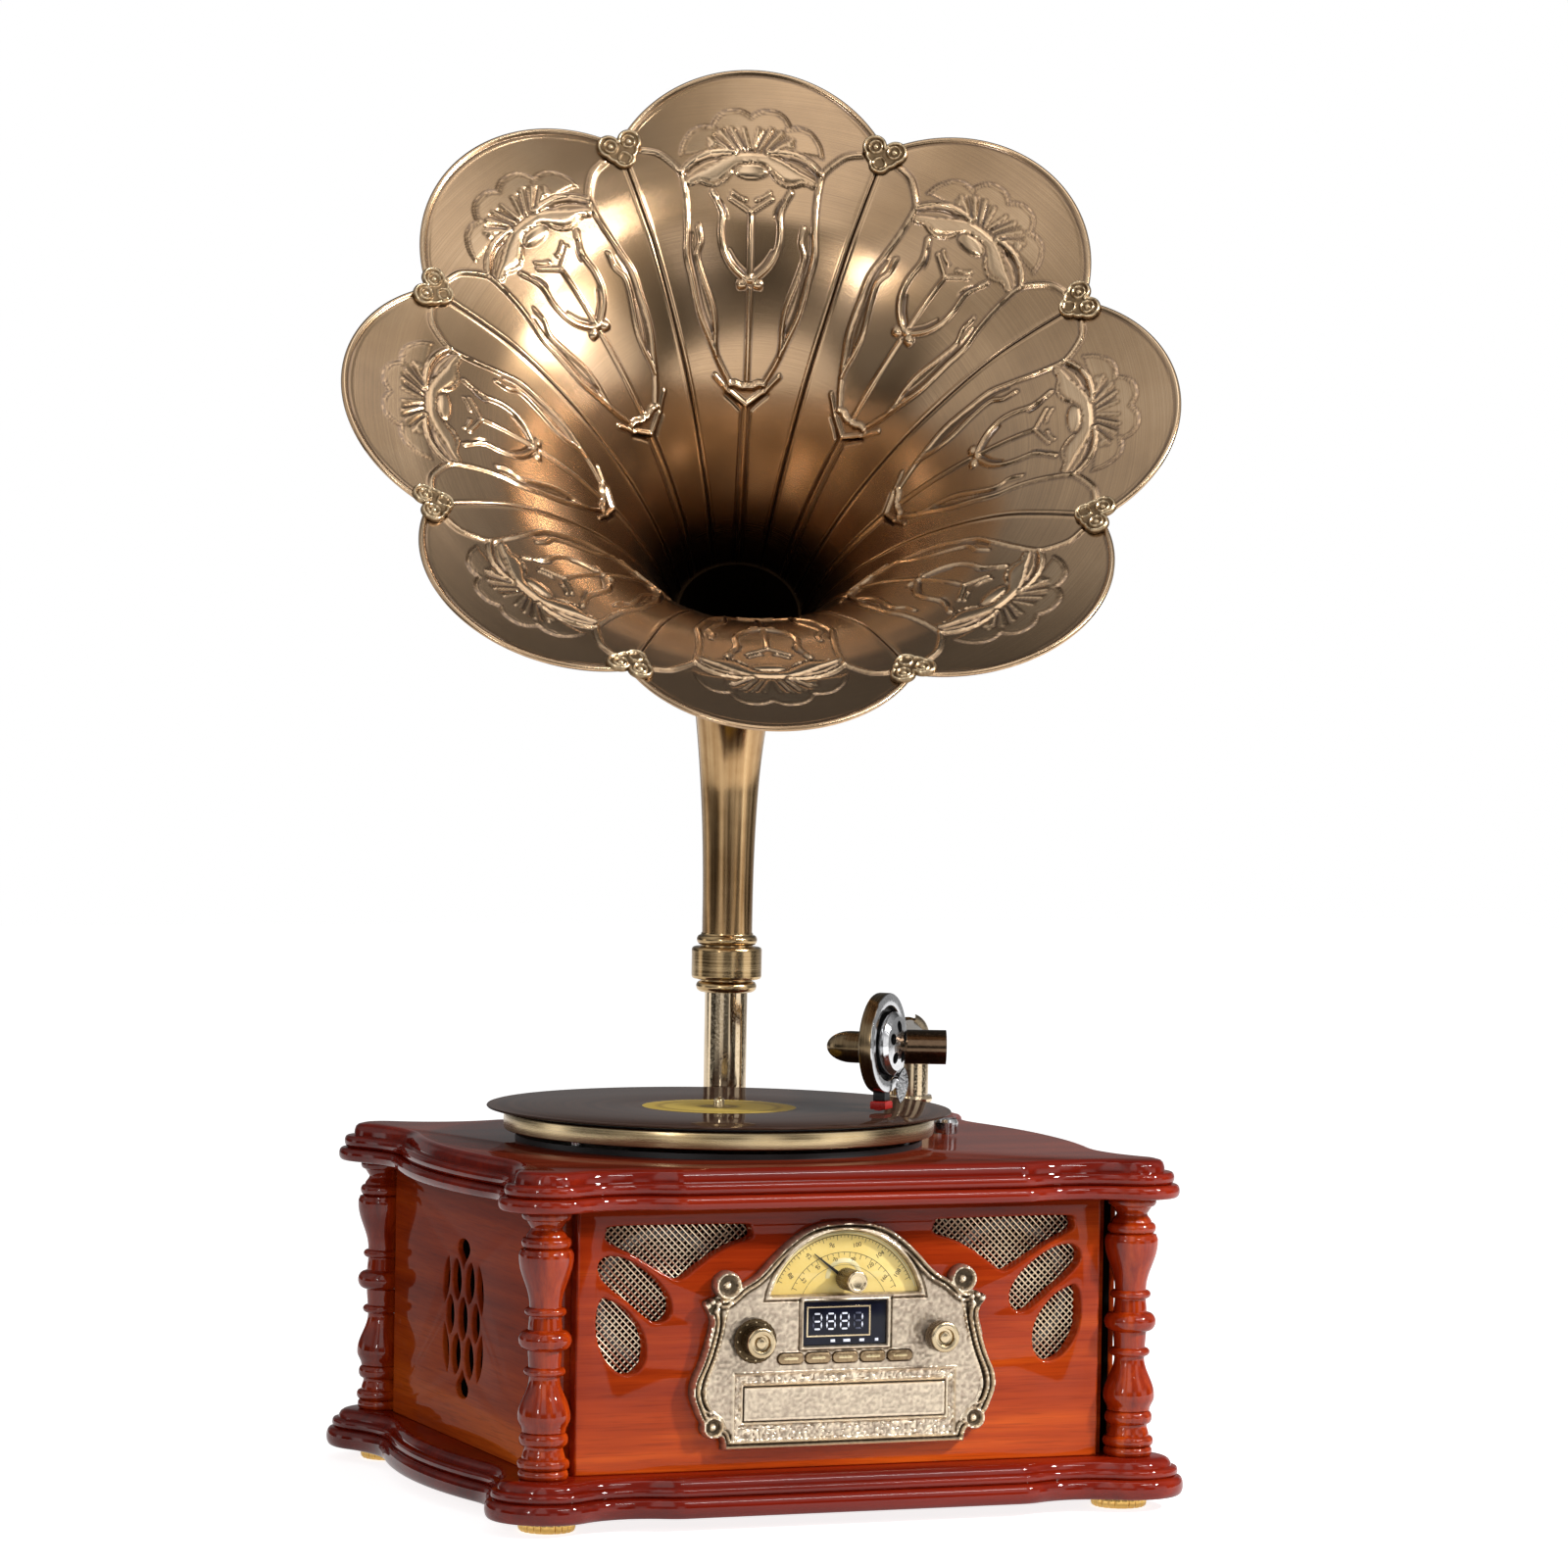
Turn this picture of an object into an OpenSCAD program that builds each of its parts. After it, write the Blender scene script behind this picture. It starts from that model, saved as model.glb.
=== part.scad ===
// Horn gramophone: a wooden cabinet on brass feet with turned corner columns, a radio and
// disc-drawer panel, a belt-driven turntable with a swinging tone arm, and an eight-petal
// brass horn on a post behind the turntable.
// Millimetres. X to the right of the front, Y to the back, Z up, floor at Z = 0.

/* [Cabinet] */
// Distance between the column axes, left to right
column_span_x = 395; // [385:1:405]
// Distance between the column axes, front to back
column_span_y = 324.8; // [318:0.2:332]
// Height of the feet
foot_h = 8.6; // [7:0.1:10]
// Thickness of the base plate
base_h = 24.4; // [22:0.2:28]
// Height of the columns and the walls between the two plates
wall_h = 165.4; // [164:0.2:168]
// Thickness of the top plate
top_h = 24.4; // [22:0.2:28]
// Thickness of the wooden walls
wall_t = 12; // [10:0.5:13]
// Radius of the ear round each column at the widest tier of the top plate
ear_r = 30.2; // [28:0.2:33]
// How far the base plate stands out past the top plate
base_spread = 5.7; // [3:0.1:8]

/* [Turntable] */
// Radius of a twelve inch record
record_r = 150.8; // [150.4:0.1:151.2]
// Radius of the platter rim
platter_r = 139.7; // [136:0.1:142]
// Height of the platter rim
platter_h = 11.5; // [10:0.5:13]
// Radius of the record spindle
spindle_r = 3.5; // [3.4:0.05:3.55]

/* [Tone arm] */
// Length of the arm from its post to the cross tube
arm_length = 153.7; // [150:0.1:157]
// Height of the arm axis above the floor
arm_z = 285; // [284:0.5:287]
// Radius of the sound box
soundbox_r = 32.4; // [31:0.1:33]

/* [Horn] */
// Direction that the horn faces, turned from straight ahead
horn_yaw = -17.3; // [-30:0.1:30]
// Rise of the horn axis above the horizontal
horn_rise = 36.8; // [34:0.1:40]
// Radius of the bend in the neck
bend_r = 150; // [140:1:160]
// Length of the bell along its axis
bell_length = 225.8; // [215:0.1:235]
// Radius of the bell where two petals meet at the rim
clip_circle_r = 229.1; // [225:0.1:232]
// Radius of the bell at the tip of a petal
petal_tip_r = 265.9; // [260:0.1:270]
// Thickness of the horn sheet
sheet_t = 1.2; // [1:0.1:1.6]

/* [Front panel] */
// Width of the disc drawer
drawer_w = 135; // [134:0.5:136]
// Height of the disc drawer
drawer_h = 20.8; // [20:0.1:21.2]
// Spacing of the five push buttons
button_pitch = 18.4; // [18:0.1:18.6]
// Travel of a push button
button_travel = 1; // [0.5:0.1:1]

/* [Hidden] */
$fn = 96;

// Place of the cabinet's centre, so that the whole object's box stands centred on the origin
cabinet_x = 27.9;
cabinet_y = 25.8;

wood_dark = "#6b2013";
wood_red = "#a63c17";
brass = "#9c8550";
pewter = "#a09474";
steel = "#8d9094";
black = "#1c1c1e";

// Heights
base_top = foot_h + base_h;
wall_top = base_top + wall_h;
deck_z = wall_top + top_h;
col_x = column_span_x / 2;
col_y = column_span_y / 2;
gap = 0.3;

// Plan of the serpentine plates
front_bulge = 5.6;
side_bulge = 4;
front_shoulder_x = 112;
shoulder_r = 30;
side_shoulder_r = 400;
front_cove_r = 60;
side_cove_r = 80;
plate_half_x = col_x + ear_r - side_bulge;
plate_half_y = col_y + ear_r - front_bulge;

// Walls
front_face = 161;
side_face = 196;
notch = 21;
wall_half_x = col_x - notch;
wall_half_y = col_y - notch;
block_w = 20;

// Turntable
table_x = -22.3;
table_y = 1.8;
deck_ring_t = 3.5;
platter_top = 241;
platter_low = platter_top - platter_h;
platter_skin = 2.5;
mat_low = platter_top;
mat_t = 2.2;
record_low = mat_low + mat_t;
record_t = 1.7;
record_top = record_low + record_t;
drive_ring_r = 60;
pulley_r = 5.5;
pulley_distance = 85;
pulley_angle = -135;
pulley_x = table_x + pulley_distance * cos(pulley_angle);
pulley_y = table_y + pulley_distance * sin(pulley_angle);
belt_t = 0.8;
belt_gap = 0.2;

// Tone arm
post_x = 155;
post_y = 108;
arm_heading = 250.26;
head_x = post_x + arm_length * cos(arm_heading);
head_y = post_y + arm_length * sin(arm_heading);
post_r = 14;
post_low = 241.2;
lift_z = 282.5;
arm_tube_r = 7.5;
cross_r = 11.2;
cross_left = 15;
cross_right = 16;
soundbox_x = 68;
soundbox_y = -55;
soundbox_z = 289.5;
soundbox_heading = -43.4;
soundbox_t = 10;
bullet_drop = 3.5;
rosette_r = 20.5;

// Horn
horn_x = 41.4;
horn_y = 157;
post_tube_r = 14.5;
post_bore_r = 11.5;
coupling_z = 308;
neck_z = 348;
neck_r0 = 17;
bend_angle = 90 - horn_rise;
mouth_reach = bend_r * (1 - cos(bend_angle)) + bell_length * cos(horn_rise);
mouth_z = 700;
bend_z = mouth_z - bend_r * sin(bend_angle) - bell_length * sin(horn_rise);
neck_rise = bend_z - neck_z;
neck_run = neck_rise + bend_r * bend_angle * PI / 180;
throat_r = 41.5;
bell_curve = [
    [-229, 41.6], [-225.8, 41.7], [-205, 47.4], [-175, 57.8], [-140, 74.6], [-110, 93], [-85, 111.4], [-64, 130.2],
    [-44, 150.8], [-28, 171], [-16, 192.4], [-9, 207.2], [-3.5, 220], [3, 236.9], [10, 254.6], [18.5, 276]
];
petal_count = 8;
petal_step = 360 / petal_count;
chord_half = clip_circle_r * sin(petal_step / 2);
chord_x = clip_circle_r * cos(petal_step / 2);
sagitta = petal_tip_r - chord_x;
scallop_r = (chord_half * chord_half + sagitta * sagitta) / (2 * sagitta);
scallop_x = petal_tip_r - scallop_r;

// Fascia, seen from the front: X to the right, Z up
fascia_back = front_face;
fascia_front = front_face + 6;
fascia_rim = front_face + 9;
dial_r = 52.1;
dial_z = 129.1;
dial_floor_z = 142;
tuning_z = 151.3;
knob_x = 61.8;
knob_z = 114.5;
knob_r = 9.5;
button_z = 102.4;
button_w = 17;
button_h = 6.5;
drawer_z = 74.8;
screen_w = 55.6;
screen_low = 110;
screen_high = 137;
fascia_half = [
    [15, 186.5], [27.5, 182.6], [39.5, 174.6], [50, 165], [55.5, 159], [62, 153.5], [70, 149],
    [80, 141], [86, 142], [90.4, 140.7], [94.6, 138.2], [90, 132], [89.5, 126], [92, 116],
    [94.7, 107], [97.5, 99.5], [101.4, 91], [102.5, 81.5], [99.5, 72], [95.4, 64], [84, 58],
    [81.4, 52], [81.4, 46.5]
];

function arc(c, r, a0, a1, n) = [
    for (i = [0:n]) let (a = a0 + (a1 - a0) * i / n) [c[0] + r * cos(a), c[1] + r * sin(a)]
];
function heading(a, b) = atan2(b[1] - a[1], b[0] - a[0]);
function wrap(a) = a < 0 ? a + 360 : a;
// Centre at distance ra from a and rb from b, to the right of the way from a to b
function meet(a, ra, b, rb) =
    let (d = norm(b - a), u = (b - a) / d, x = (d * d + ra * ra - rb * rb) / (2 * d),
         h = sqrt(ra * ra - x * x))
    a + x * u + h * [u[1], -u[0]];

// One quarter of the serpentine plan, from the middle of the side to the middle of the back,
// with every edge moved outwards by d
function plan_quarter(d) =
    let (
        s1 = [plate_half_x - side_shoulder_r, 0],
        e = [col_x, col_y],
        s2 = [front_shoulder_x, plate_half_y - shoulder_r],
        k1 = meet(s1, side_shoulder_r + side_cove_r, e, ear_r + side_cove_r),
        k2 = meet(e, ear_r + front_cove_r, s2, shoulder_r + front_cove_r)
    )
    concat(
        arc(s1, side_shoulder_r + d, 0, heading(s1, k1), 5),
        arc(k1, side_cove_r - d, wrap(heading(k1, s1)), wrap(heading(k1, e)), 4),
        arc(e, ear_r + d, heading(e, k1), heading(e, k2), 12),
        arc(k2, front_cove_r - d, wrap(heading(k2, e)), wrap(heading(k2, s2)), 4),
        arc(s2, shoulder_r + d, heading(s2, k2), 90, 2)
    );
function mirrored(p, sx, sy) = [for (q = p) [q[0] * sx, q[1] * sy]];
function turned(p) = [for (i = [len(p) - 1:-1:0]) p[i]];
function plan_outline(d) =
    let (q = plan_quarter(d))
    concat(q, turned(mirrored(q, -1, 1)), mirrored(q, -1, -1), turned(mirrored(q, 1, -1)));

function bead(h0, h1, r, out, n = 8) = [
    for (i = [0:n]) let (a = 180 * i / n) [r + out * sin(a), (h0 + h1) / 2 - (h1 - h0) / 2 * cos(a)]
];
function ease(h0, r0, h1, r1, n = 8) = [
    for (i = [0:n]) let (w = (1 - cos(180 * i / n)) / 2) [r0 + (r1 - r0) * w, h0 + (h1 - h0) * i / n]
];

module place() {
    translate([cabinet_x, cabinet_y, 0]) children();
}
// Extrudes a front view, X right and Z up, from depth y0 forwards to depth y1 in front
module from_front(y0, y1) {
    translate([0, -y0, 0]) rotate([90, 0, 0]) linear_extrude(y1 - y0) children();
}
module tube(r1, r0, h) {
    difference() {
        cylinder(r = r1, h = h);
        translate([0, 0, -1]) cylinder(r = r0, h = h + 2);
    }
}
module corners(x, y) {
    for (sx = [-1, 1], sy = [-1, 1]) translate([sx * x, sy * y, 0]) children();
}
module plate_tier(z, h, d) {
    translate([0, 0, z]) linear_extrude(h) polygon(plan_outline(d));
}

module base_plate() {
    color(wood_dark) place() {
        plate_tier(foot_h, 12.4, base_spread);
        plate_tier(foot_h + 12.4, 6.5, base_spread - 3.6);
        plate_tier(foot_h + 18.9, base_h - 18.9, base_spread - 7.9);
    }
}

module top_plate() {
    color(wood_dark) place() difference() {
        union() {
            plate_tier(wall_top, 8.6, 0);
            plate_tier(wall_top + 8.6, 8, -3.5);
            plate_tier(wall_top + 16.6, top_h - 16.6, -10);
        }
        translate([table_x, table_y, wall_top - 1]) cylinder(r = 9.1, h = top_h + 2);
        translate([pulley_x, pulley_y, wall_top - 1]) cylinder(r = 8, h = top_h + 2);
        translate([post_x, post_y, wall_top - 1]) cylinder(r = 10, h = top_h + 2);
        translate([146, 20, wall_top - 1]) cylinder(r = 3.06, h = top_h + 2);
        translate([horn_x, horn_y, deck_z - 16]) cylinder(r = 15, h = 17);
    }
}

// The three openings of one side's loudspeaker grille, front view, for the right side
module grille_cuts() {
    polygon([
        [60.6, 180], [62.5, 185], [66, 186.5], [152, 187], [157.5, 184], [158, 179], [152, 175],
        [140, 169], [128, 162], [113, 153.6], [107, 153.6], [98, 160], [86, 168], [74, 174],
        [64, 177]
    ]);
    polygon([
        [154, 168.6], [158.5, 168], [162, 165], [163, 160], [160, 154], [152, 146.5], [143.7, 140.5],
        [135, 133], [127, 127.5], [120.9, 126.6], [116, 129.5], [114.2, 135], [115, 141],
        [120, 149], [127, 156], [137, 163], [146, 167.3]
    ]);
    polygon([
        [159.8, 142.5], [155, 141.5], [147, 137.5], [139, 130], [133, 121], [130.6, 112],
        [131.5, 102.5], [136, 96.4], [142.9, 94.6], [150.5, 97.5], [157, 104.5], [161.8, 114],
        [163.8, 125], [163, 136]
    ]);
}

module front_panel() {
    color(wood_red) place() difference() {
        from_front(front_face - wall_t, front_face) difference() {
            translate([-wall_half_x, base_top]) square([2 * wall_half_x, wall_h]);
            grille_cuts();
            mirror([1, 0]) grille_cuts();
            translate([-46, 98]) square([92, 58]);
            translate([-drawer_w / 2 - 1.5, 61.5]) square([drawer_w + 3, 26.5]);
        }
        for (sx = [-1, 1]) translate([sx * knob_x, 0, knob_z]) rotate([90, 0, 0])
            cylinder(r = 9, h = front_face + 5);
    }
}

// Pierced ornament of a side wall: Y to the right, Z up
module side_cuts() {
    // A leaf-shaped slot of length l and width w, leaning by a
    module leaf(y, z, l, w, a) {
        r = (l * l / 4 + w * w / 4) / w;
        translate([y, z]) rotate(a) intersection() {
            translate([r - w / 2, 0]) circle(r);
            translate([w / 2 - r, 0]) circle(r);
        }
    }
    module drop() {
        scale([2, 1]) circle(6);
        polygon([[-10.4, -3], [10.4, -3], [4, -8], [0, -13], [-4, -8]]);
    }
    for (s = [-1, 1]) {
        translate([0, 112 + s * 45]) rotate(s > 0 ? 0 : 180) drop();
        leaf(-s * 13, 112 + s * 24, 27, 18, s * 8);
        leaf(s * 13, 112 + s * 24, 27, 18, -s * 8);
        leaf(-s * 33.5, 112 + s * 22, 32, 12, -s * 14);
        leaf(s * 33.5, 112 + s * 22, 32, 12, s * 14);
        leaf(s * 25.5, 112, 26, 16, 0);
    }
    leaf(0, 112, 28, 18, 0);
}

module side_panel(side) {
    translate([side * side_face, 0, 0]) rotate([90, 0, 90]) translate([0, 0, side > 0 ? -wall_t : 0])
        linear_extrude(wall_t) difference() {
            translate([-wall_half_y, base_top]) square([2 * wall_half_y, wall_h]);
            side_cuts();
        }
}
module left_panel() {
    color(wood_red) place() side_panel(-1);
}
module right_panel() {
    color(wood_red) place() side_panel(1);
}

module back_panel() {
    color(wood_red) place() translate([0, front_face, 0]) rotate([90, 0, 0]) linear_extrude(wall_t)
        difference() {
            translate([-wall_half_x, base_top]) square([2 * wall_half_x, wall_h]);
            translate([-126, 54]) square([82, 32]);
            for (i = [-4:4]) translate([i * 12 - 2, 120]) square([4, 40]);
        }
}

module corner_blocks() {
    color(wood_red) place() corners(side_face - wall_t - block_w / 2, front_face - wall_t - block_w / 2)
        translate([-block_w / 2, -block_w / 2, base_top]) cube([block_w, block_w, wall_h]);
}

column_profile = concat(
    [[0, 0]], bead(0, 6, 13.6, 2), bead(6.2, 12.6, 14, 2.3), ease(13, 13.4, 19.4, 12, 4),
    bead(20.4, 28.6, 12.6, 2.6), ease(29.2, 13.6, 37.5, 16.4, 4), ease(38.5, 16.4, 62.6, 9.6),
    bead(63.6, 69, 10, 3), ease(69.6, 10, 79, 10.6, 3), bead(79.6, 91.6, 11.5, 5),
    ease(92.2, 10.6, 100, 10, 3), bead(100.4, 105.8, 10, 3), ease(106.4, 10, 136.2, 17),
    ease(138, 17, 141.2, 16, 3), bead(142.2, 148.8, 13.2, 2.3), ease(149.4, 12.6, 154.6, 9.8, 3),
    bead(159.2, wall_h, 12.8, 2.7), [[0, wall_h]]
);
module columns() {
    color(wood_dark) place() corners(col_x, col_y) translate([0, 0, base_top])
        rotate_extrude($fn = 48) polygon(column_profile);
}

module feet() {
    color(brass) place() corners(193.4, 159.1) linear_extrude(foot_h) {
        circle(16.9);
        for (i = [0:23]) rotate(i * 15) translate([16.8, 0]) circle(1.3, $fn = 16);
    }
}

module screw_head(r, h) {
    difference() {
        cylinder(r = r, h = h);
        translate([-r, -0.4, h - 0.8]) cube([2 * r, 0.8, 1]);
    }
}
module screws() {
    color(steel) place() {
        for (a = [202.6, 322.6, 82.6])
            translate([table_x + 124 * cos(a), table_y + 124 * sin(a), deck_z + deck_ring_t])
                screw_head(4, 2.6);
        for (a = [0, 120, 240])
            translate([post_x + 18.9 * cos(a), post_y + 18.9 * sin(a), deck_z + 3]) screw_head(1.6, 1);
        for (x = [-165, 0, 165], z = [45, 186]) translate([x, front_face, z]) rotate([-90, 0, 0])
            screw_head(3.2, 1.6);
    }
}

// Perforated sheets behind the two grilles
module grilles() {
    color(brass) place() for (s = [0, 1]) mirror([s, 0, 0]) from_front(148, 149) {
        translate([74, 91]) square([89.9, 99]);
        translate([56, 165]) square([18.5, 25]);
    }
}

module behind_front(x, z, depth) {
    translate([x, -depth, z]) rotate([-90, 0, 0]) children();
}
module speaker_frames() {
    color(black) place() for (s = [-1, 1]) behind_front(s * 116, 140, 147.8) {
        rotate_extrude() polygon([
            [38, 0], [44, 0], [44, 2.5], [40, 2.5], [24, 22], [24, 24], [14, 24], [14, 21], [21.5, 21],
            [37, 2.5], [36.5, 1.2]
        ]);
        translate([0, 0, 24.2]) cylinder(r = 23, h = 13);
    }
}
module speaker_cones() {
    color("#2b2a28") place() for (s = [-1, 1]) behind_front(s * 116, 140, 147.8) rotate_extrude() polygon([
        [36, 0.8], [34, 0], [32, 1], [11, 17], [0, 13], [0, 14], [10.6, 18.5], [32, 2.6], [34, 1.6], [35.6, 2.2]
    ]);
}

module rounded_bar(w, h) {
    translate([-w / 2 + h / 2, -h / 2]) square([w - h, h]);
    for (s = [-1, 1]) translate([s * (w / 2 - h / 2), 0]) circle(h / 2, $fn = 32);
}
module half_moon(r, floor_z) {
    intersection() {
        translate([0, dial_z]) circle(r);
        translate([-r, floor_z]) square([2 * r, r]);
    }
}
module fascia_outline() {
    for (s = [0, 1]) mirror([s, 0]) {
        polygon(concat([[0, 46.5], [0, 187.4]], fascia_half));
        translate([79.3, 149.3]) circle(9);
        translate([88, 61.2]) circle(7.6);
    }
}
module fascia() {
    color(pewter) place() difference() {
        union() {
            from_front(fascia_back, fascia_front) fascia_outline();
            from_front(fascia_front, fascia_front + 1.6) {
                translate([-30.5, 107.8]) square([61, 31.2]);
                difference() {
                    half_moon(dial_r + 2.5, dial_floor_z - 2);
                    half_moon(dial_r, dial_floor_z);
                }
                translate([-75.5, 50]) square([151, 44.5]);
            }
            from_front(fascia_front, fascia_rim) for (s = [0, 1]) mirror([s, 0]) {
                translate([79.3, 149.3]) circle(9);
                translate([88, 61.2]) circle(7.6);
                for (i = [0:len(fascia_half) - 2])
                    translate(fascia_half[i] * 0.985 + [0, 1.6]) circle(1.8, $fn = 16);
            }
        }
        from_front(fascia_back - 1, fascia_rim + 1) {
            half_moon(dial_r, dial_floor_z);
            translate([-screen_w / 2 - gap, screen_low - gap])
                square([screen_w + 2 * gap, screen_high - screen_low + 2 * gap]);
            translate([-drawer_w / 2 - 0.4, drawer_z - drawer_h / 2 - 0.4])
                square([drawer_w + 0.8, drawer_h + 0.8]);
            for (i = [-2:2]) translate([i * button_pitch, button_z]) rounded_bar(button_w + 0.4, button_h + 0.4);
        }
        from_front(fascia_back - 1, fascia_back + 1.6) half_moon(dial_r + 2.6, dial_floor_z - 2.4);
        for (s = [-1, 1]) translate([s * knob_x, 0, knob_z]) rotate([90, 0, 0]) cylinder(r = 3.4, h = 200);
    }
}

module dial_scale() {
    color("#e3bb4e") place() difference() {
        from_front(fascia_back, fascia_back + 1.3) half_moon(dial_r + 2.3, dial_floor_z - 2.1);
        translate([0, 0, tuning_z]) rotate([90, 0, 0]) cylinder(r = 2.9, h = 200);
    }
}
// The needle points up and to the left at rest
module dial_needle() {
    color(black) place() from_front(162.7, 163.3) difference() {
        union() {
            translate([0, tuning_z]) circle(4.6, $fn = 32);
            translate([0, tuning_z]) rotate(142.5) polygon([[0, -1.2], [25.6, -0.3], [25.6, 0.3], [0, 1.2]]);
        }
        translate([0, tuning_z]) circle(2.4, $fn = 48);
    }
}
// A turned knob on its shaft, pointing forwards from depth y0 to y1
module knob(r, shaft_r, shaft_y, y0, y1) {
    rotate([90, 0, 0]) {
        translate([0, 0, shaft_y]) cylinder(r = shaft_r, h = y0 - shaft_y + 0.5, $fn = 48);
        translate([0, 0, y0]) rotate_extrude() polygon([
            [0, 0], [r - 0.8, 0], [r, 0.8], [r, y1 - y0 - 1], [r - 1, y1 - y0], [r * 0.58, y1 - y0],
            [r * 0.5, y1 - y0 - 1.6], [0, y1 - y0 - 1.6]
        ]);
    }
}
module tuning_knob() {
    color(pewter) place() translate([0, 0, tuning_z]) knob(6.8, 2.4, 151, 164.6, 185.7);
}
module left_knob() {
    color(pewter) place() translate([-knob_x, 0, knob_z]) {
        knob(knob_r, 3, 151, 170.4, 182);
        translate([0, -169.4, 0]) rotate([90, 0, 0]) cylinder(r = 14, h = 1.6);
    }
}
module right_knob() {
    color(pewter) place() translate([knob_x, 0, knob_z]) knob(knob_r, 3, 151, 170.4, 182);
}
module display_screen() {
    color("#10131c") place() {
        from_front(158, 165.6) translate([-screen_w / 2, screen_low])
            square([screen_w, screen_high - screen_low]);
    }
}
module button(i) {
    color(pewter) place() translate([(i - 3) * button_pitch, 0, 0])
        from_front(161.3, 168.4) translate([0, button_z]) rounded_bar(button_w, button_h);
}

module control_board() {
    color("#2d5a33") place() difference() {
        union() {
            from_front(147, 148.6) translate([-70, 94]) square([140, 65]);
            for (s = [-1, 1]) translate([s * knob_x, -148.6, knob_z]) rotate([90, 0, 0])
                cylinder(r = 8, h = 9.4);
            translate([0, -148.6, tuning_z]) rotate([90, 0, 0]) cylinder(r = 4, h = 9.4);
            for (i = [-2:2]) translate([i * button_pitch - 3, -159.8, button_z - 3]) cube([6, 11.2, 6]);
        }
        for (s = [-1, 1]) translate([s * knob_x, -150.8, knob_z]) rotate([90, 0, 0])
            cylinder(r = 3.05, h = 20);
        translate([0, -150.8, tuning_z]) rotate([90, 0, 0]) cylinder(r = 2.45, h = 20);
    }
}

// Disc tray with its front, closed at rest
module cd_drawer() {
    color(pewter) place() difference() {
        union() {
            translate([-drawer_w / 2, -168.4, drawer_z - drawer_h / 2]) cube([drawer_w, 5, drawer_h]);
            translate([-65.5, -163.4, drawer_z - 8]) cube([131, 143, 9]);
        }
        translate([0, -92, drawer_z - 5.6]) cylinder(r = 61, h = 10);
        translate([-13, -92, drawer_z - 10]) cube([26, 80, 20]);
    }
}
module cd_chassis() {
    color(steel) place() difference() {
        translate([-72, -147, 57]) cube([144, 155, 35]);
        translate([-70, -148, 62]) cube([140, 154, 28]);
    }
    color(steel) place() translate([0, -92, 62]) {
        cylinder(r = 5, h = 4.4);
        translate([-9, 14, 0]) cube([18, 30, 3.6]);
    }
}

module main_board() {
    color("#2d5a33") place() difference() {
        union() {
            translate([-120, 24, 40]) cube([180, 100, 1.6]);
            for (x = [-114, 54], y = [30, 118]) translate([x, y, base_top]) cylinder(r = 3.5, h = 7.5);
            translate([-100, 50, 41.6]) cube([44, 30, 18]);
            translate([-30, 40, 41.6]) cube([26, 26, 3]);
            for (i = [0:3]) translate([10 + i * 12, 100, 41.6]) cylinder(r = 5, h = 14);
        }
        for (x = [-114, 54], y = [30, 118]) translate([x, y, base_top - 1]) cylinder(r = 1.6, h = 12);
    }
}

// Plate of sockets let into the back wall
module rear_jacks() {
    color(black) place() difference() {
        union() {
            translate([-130, front_face, 50]) cube([90, 2, 40]);
            translate([-125.6, front_face - 14, 54.4]) cube([81.2, 14, 31.2]);
            for (x = [-92, -78]) translate([x, front_face + 2, 70]) rotate([-90, 0, 0])
                cylinder(r = 4.15, h = 9);
        }
        translate([-112, front_face - 9, 70]) rotate([-90, 0, 0]) cylinder(r = 2.75, h = 20);
        for (x = [-92, -78]) translate([x, front_face - 5, 70]) rotate([-90, 0, 0]) cylinder(r = 1.6, h = 20);
        translate([-64, front_face - 8, 62]) cube([12, 12, 16]);
    }
}

module deck_ring() {
    color(black) place() translate([table_x, table_y, deck_z]) difference() {
        cylinder(r = 132, h = deck_ring_t);
        translate([0, 0, -1]) cylinder(r = 16, h = 10);
        translate([pulley_x - table_x, pulley_y - table_y, -1]) cylinder(r = 8, h = 10);
    }
}
module platter_bearing() {
    color(brass) place() translate([table_x, table_y, 0]) difference() {
        union() {
            translate([0, 0, wall_top - 8]) cylinder(r = 9, h = top_h + 8);
            translate([0, 0, deck_z]) cylinder(r = 14, h = 3);
            translate([0, 0, wall_top - 5]) cylinder(r = 14, h = 5, $fn = 6);
        }
        translate([0, 0, wall_top - 6]) cylinder(r = spindle_r + 0.05, h = 60);
    }
}
module platter() {
    color(brass) place() translate([table_x, table_y, 0]) rotate_extrude($fn = 144) polygon([
        [0, wall_top - 5.8], [spindle_r, wall_top - 5.8], [spindle_r, deck_z + 3.3], [12, deck_z + 3.3],
        [12, platter_top - platter_skin], [drive_ring_r - 3, platter_top - platter_skin],
        [drive_ring_r - 3, platter_low + 1], [drive_ring_r, platter_low + 1],
        [drive_ring_r, platter_top - platter_skin], [platter_r - 3.5, platter_top - platter_skin],
        [platter_r - 3.5, platter_low], [platter_r - 1, platter_low], [platter_r, platter_low + 1.2],
        [platter_r - 0.8, platter_low + 3.4], [platter_r - 0.8, platter_top - 3], [platter_r, platter_top - 1.4],
        [platter_r - 1, platter_top], [spindle_r, platter_top], [spindle_r, record_top + 3.6],
        [spindle_r - 0.9, record_top + 5.4], [0, record_top + 6]
    ]);
}
module platter_mat() {
    color(black) place() translate([table_x, table_y, mat_low]) tube(136.5, spindle_r + 0.1, mat_t);
}
module record() {
    color("#17171a") place() translate([table_x, table_y, record_low]) tube(record_r, spindle_r + 0.12, record_t);
}
module turntable_motor() {
    color(steel) place() translate([pulley_x, pulley_y, 0]) difference() {
        union() {
            translate([0, 0, wall_top - 28]) cylinder(r = 16, h = 25);
            translate([0, 0, wall_top - 3]) cylinder(r = 21, h = 3);
            translate([0, 0, wall_top]) cylinder(r = 4, h = 6);
        }
        translate([0, 0, wall_top - 12]) cylinder(r = 1.55, h = 30);
    }
}
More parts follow.
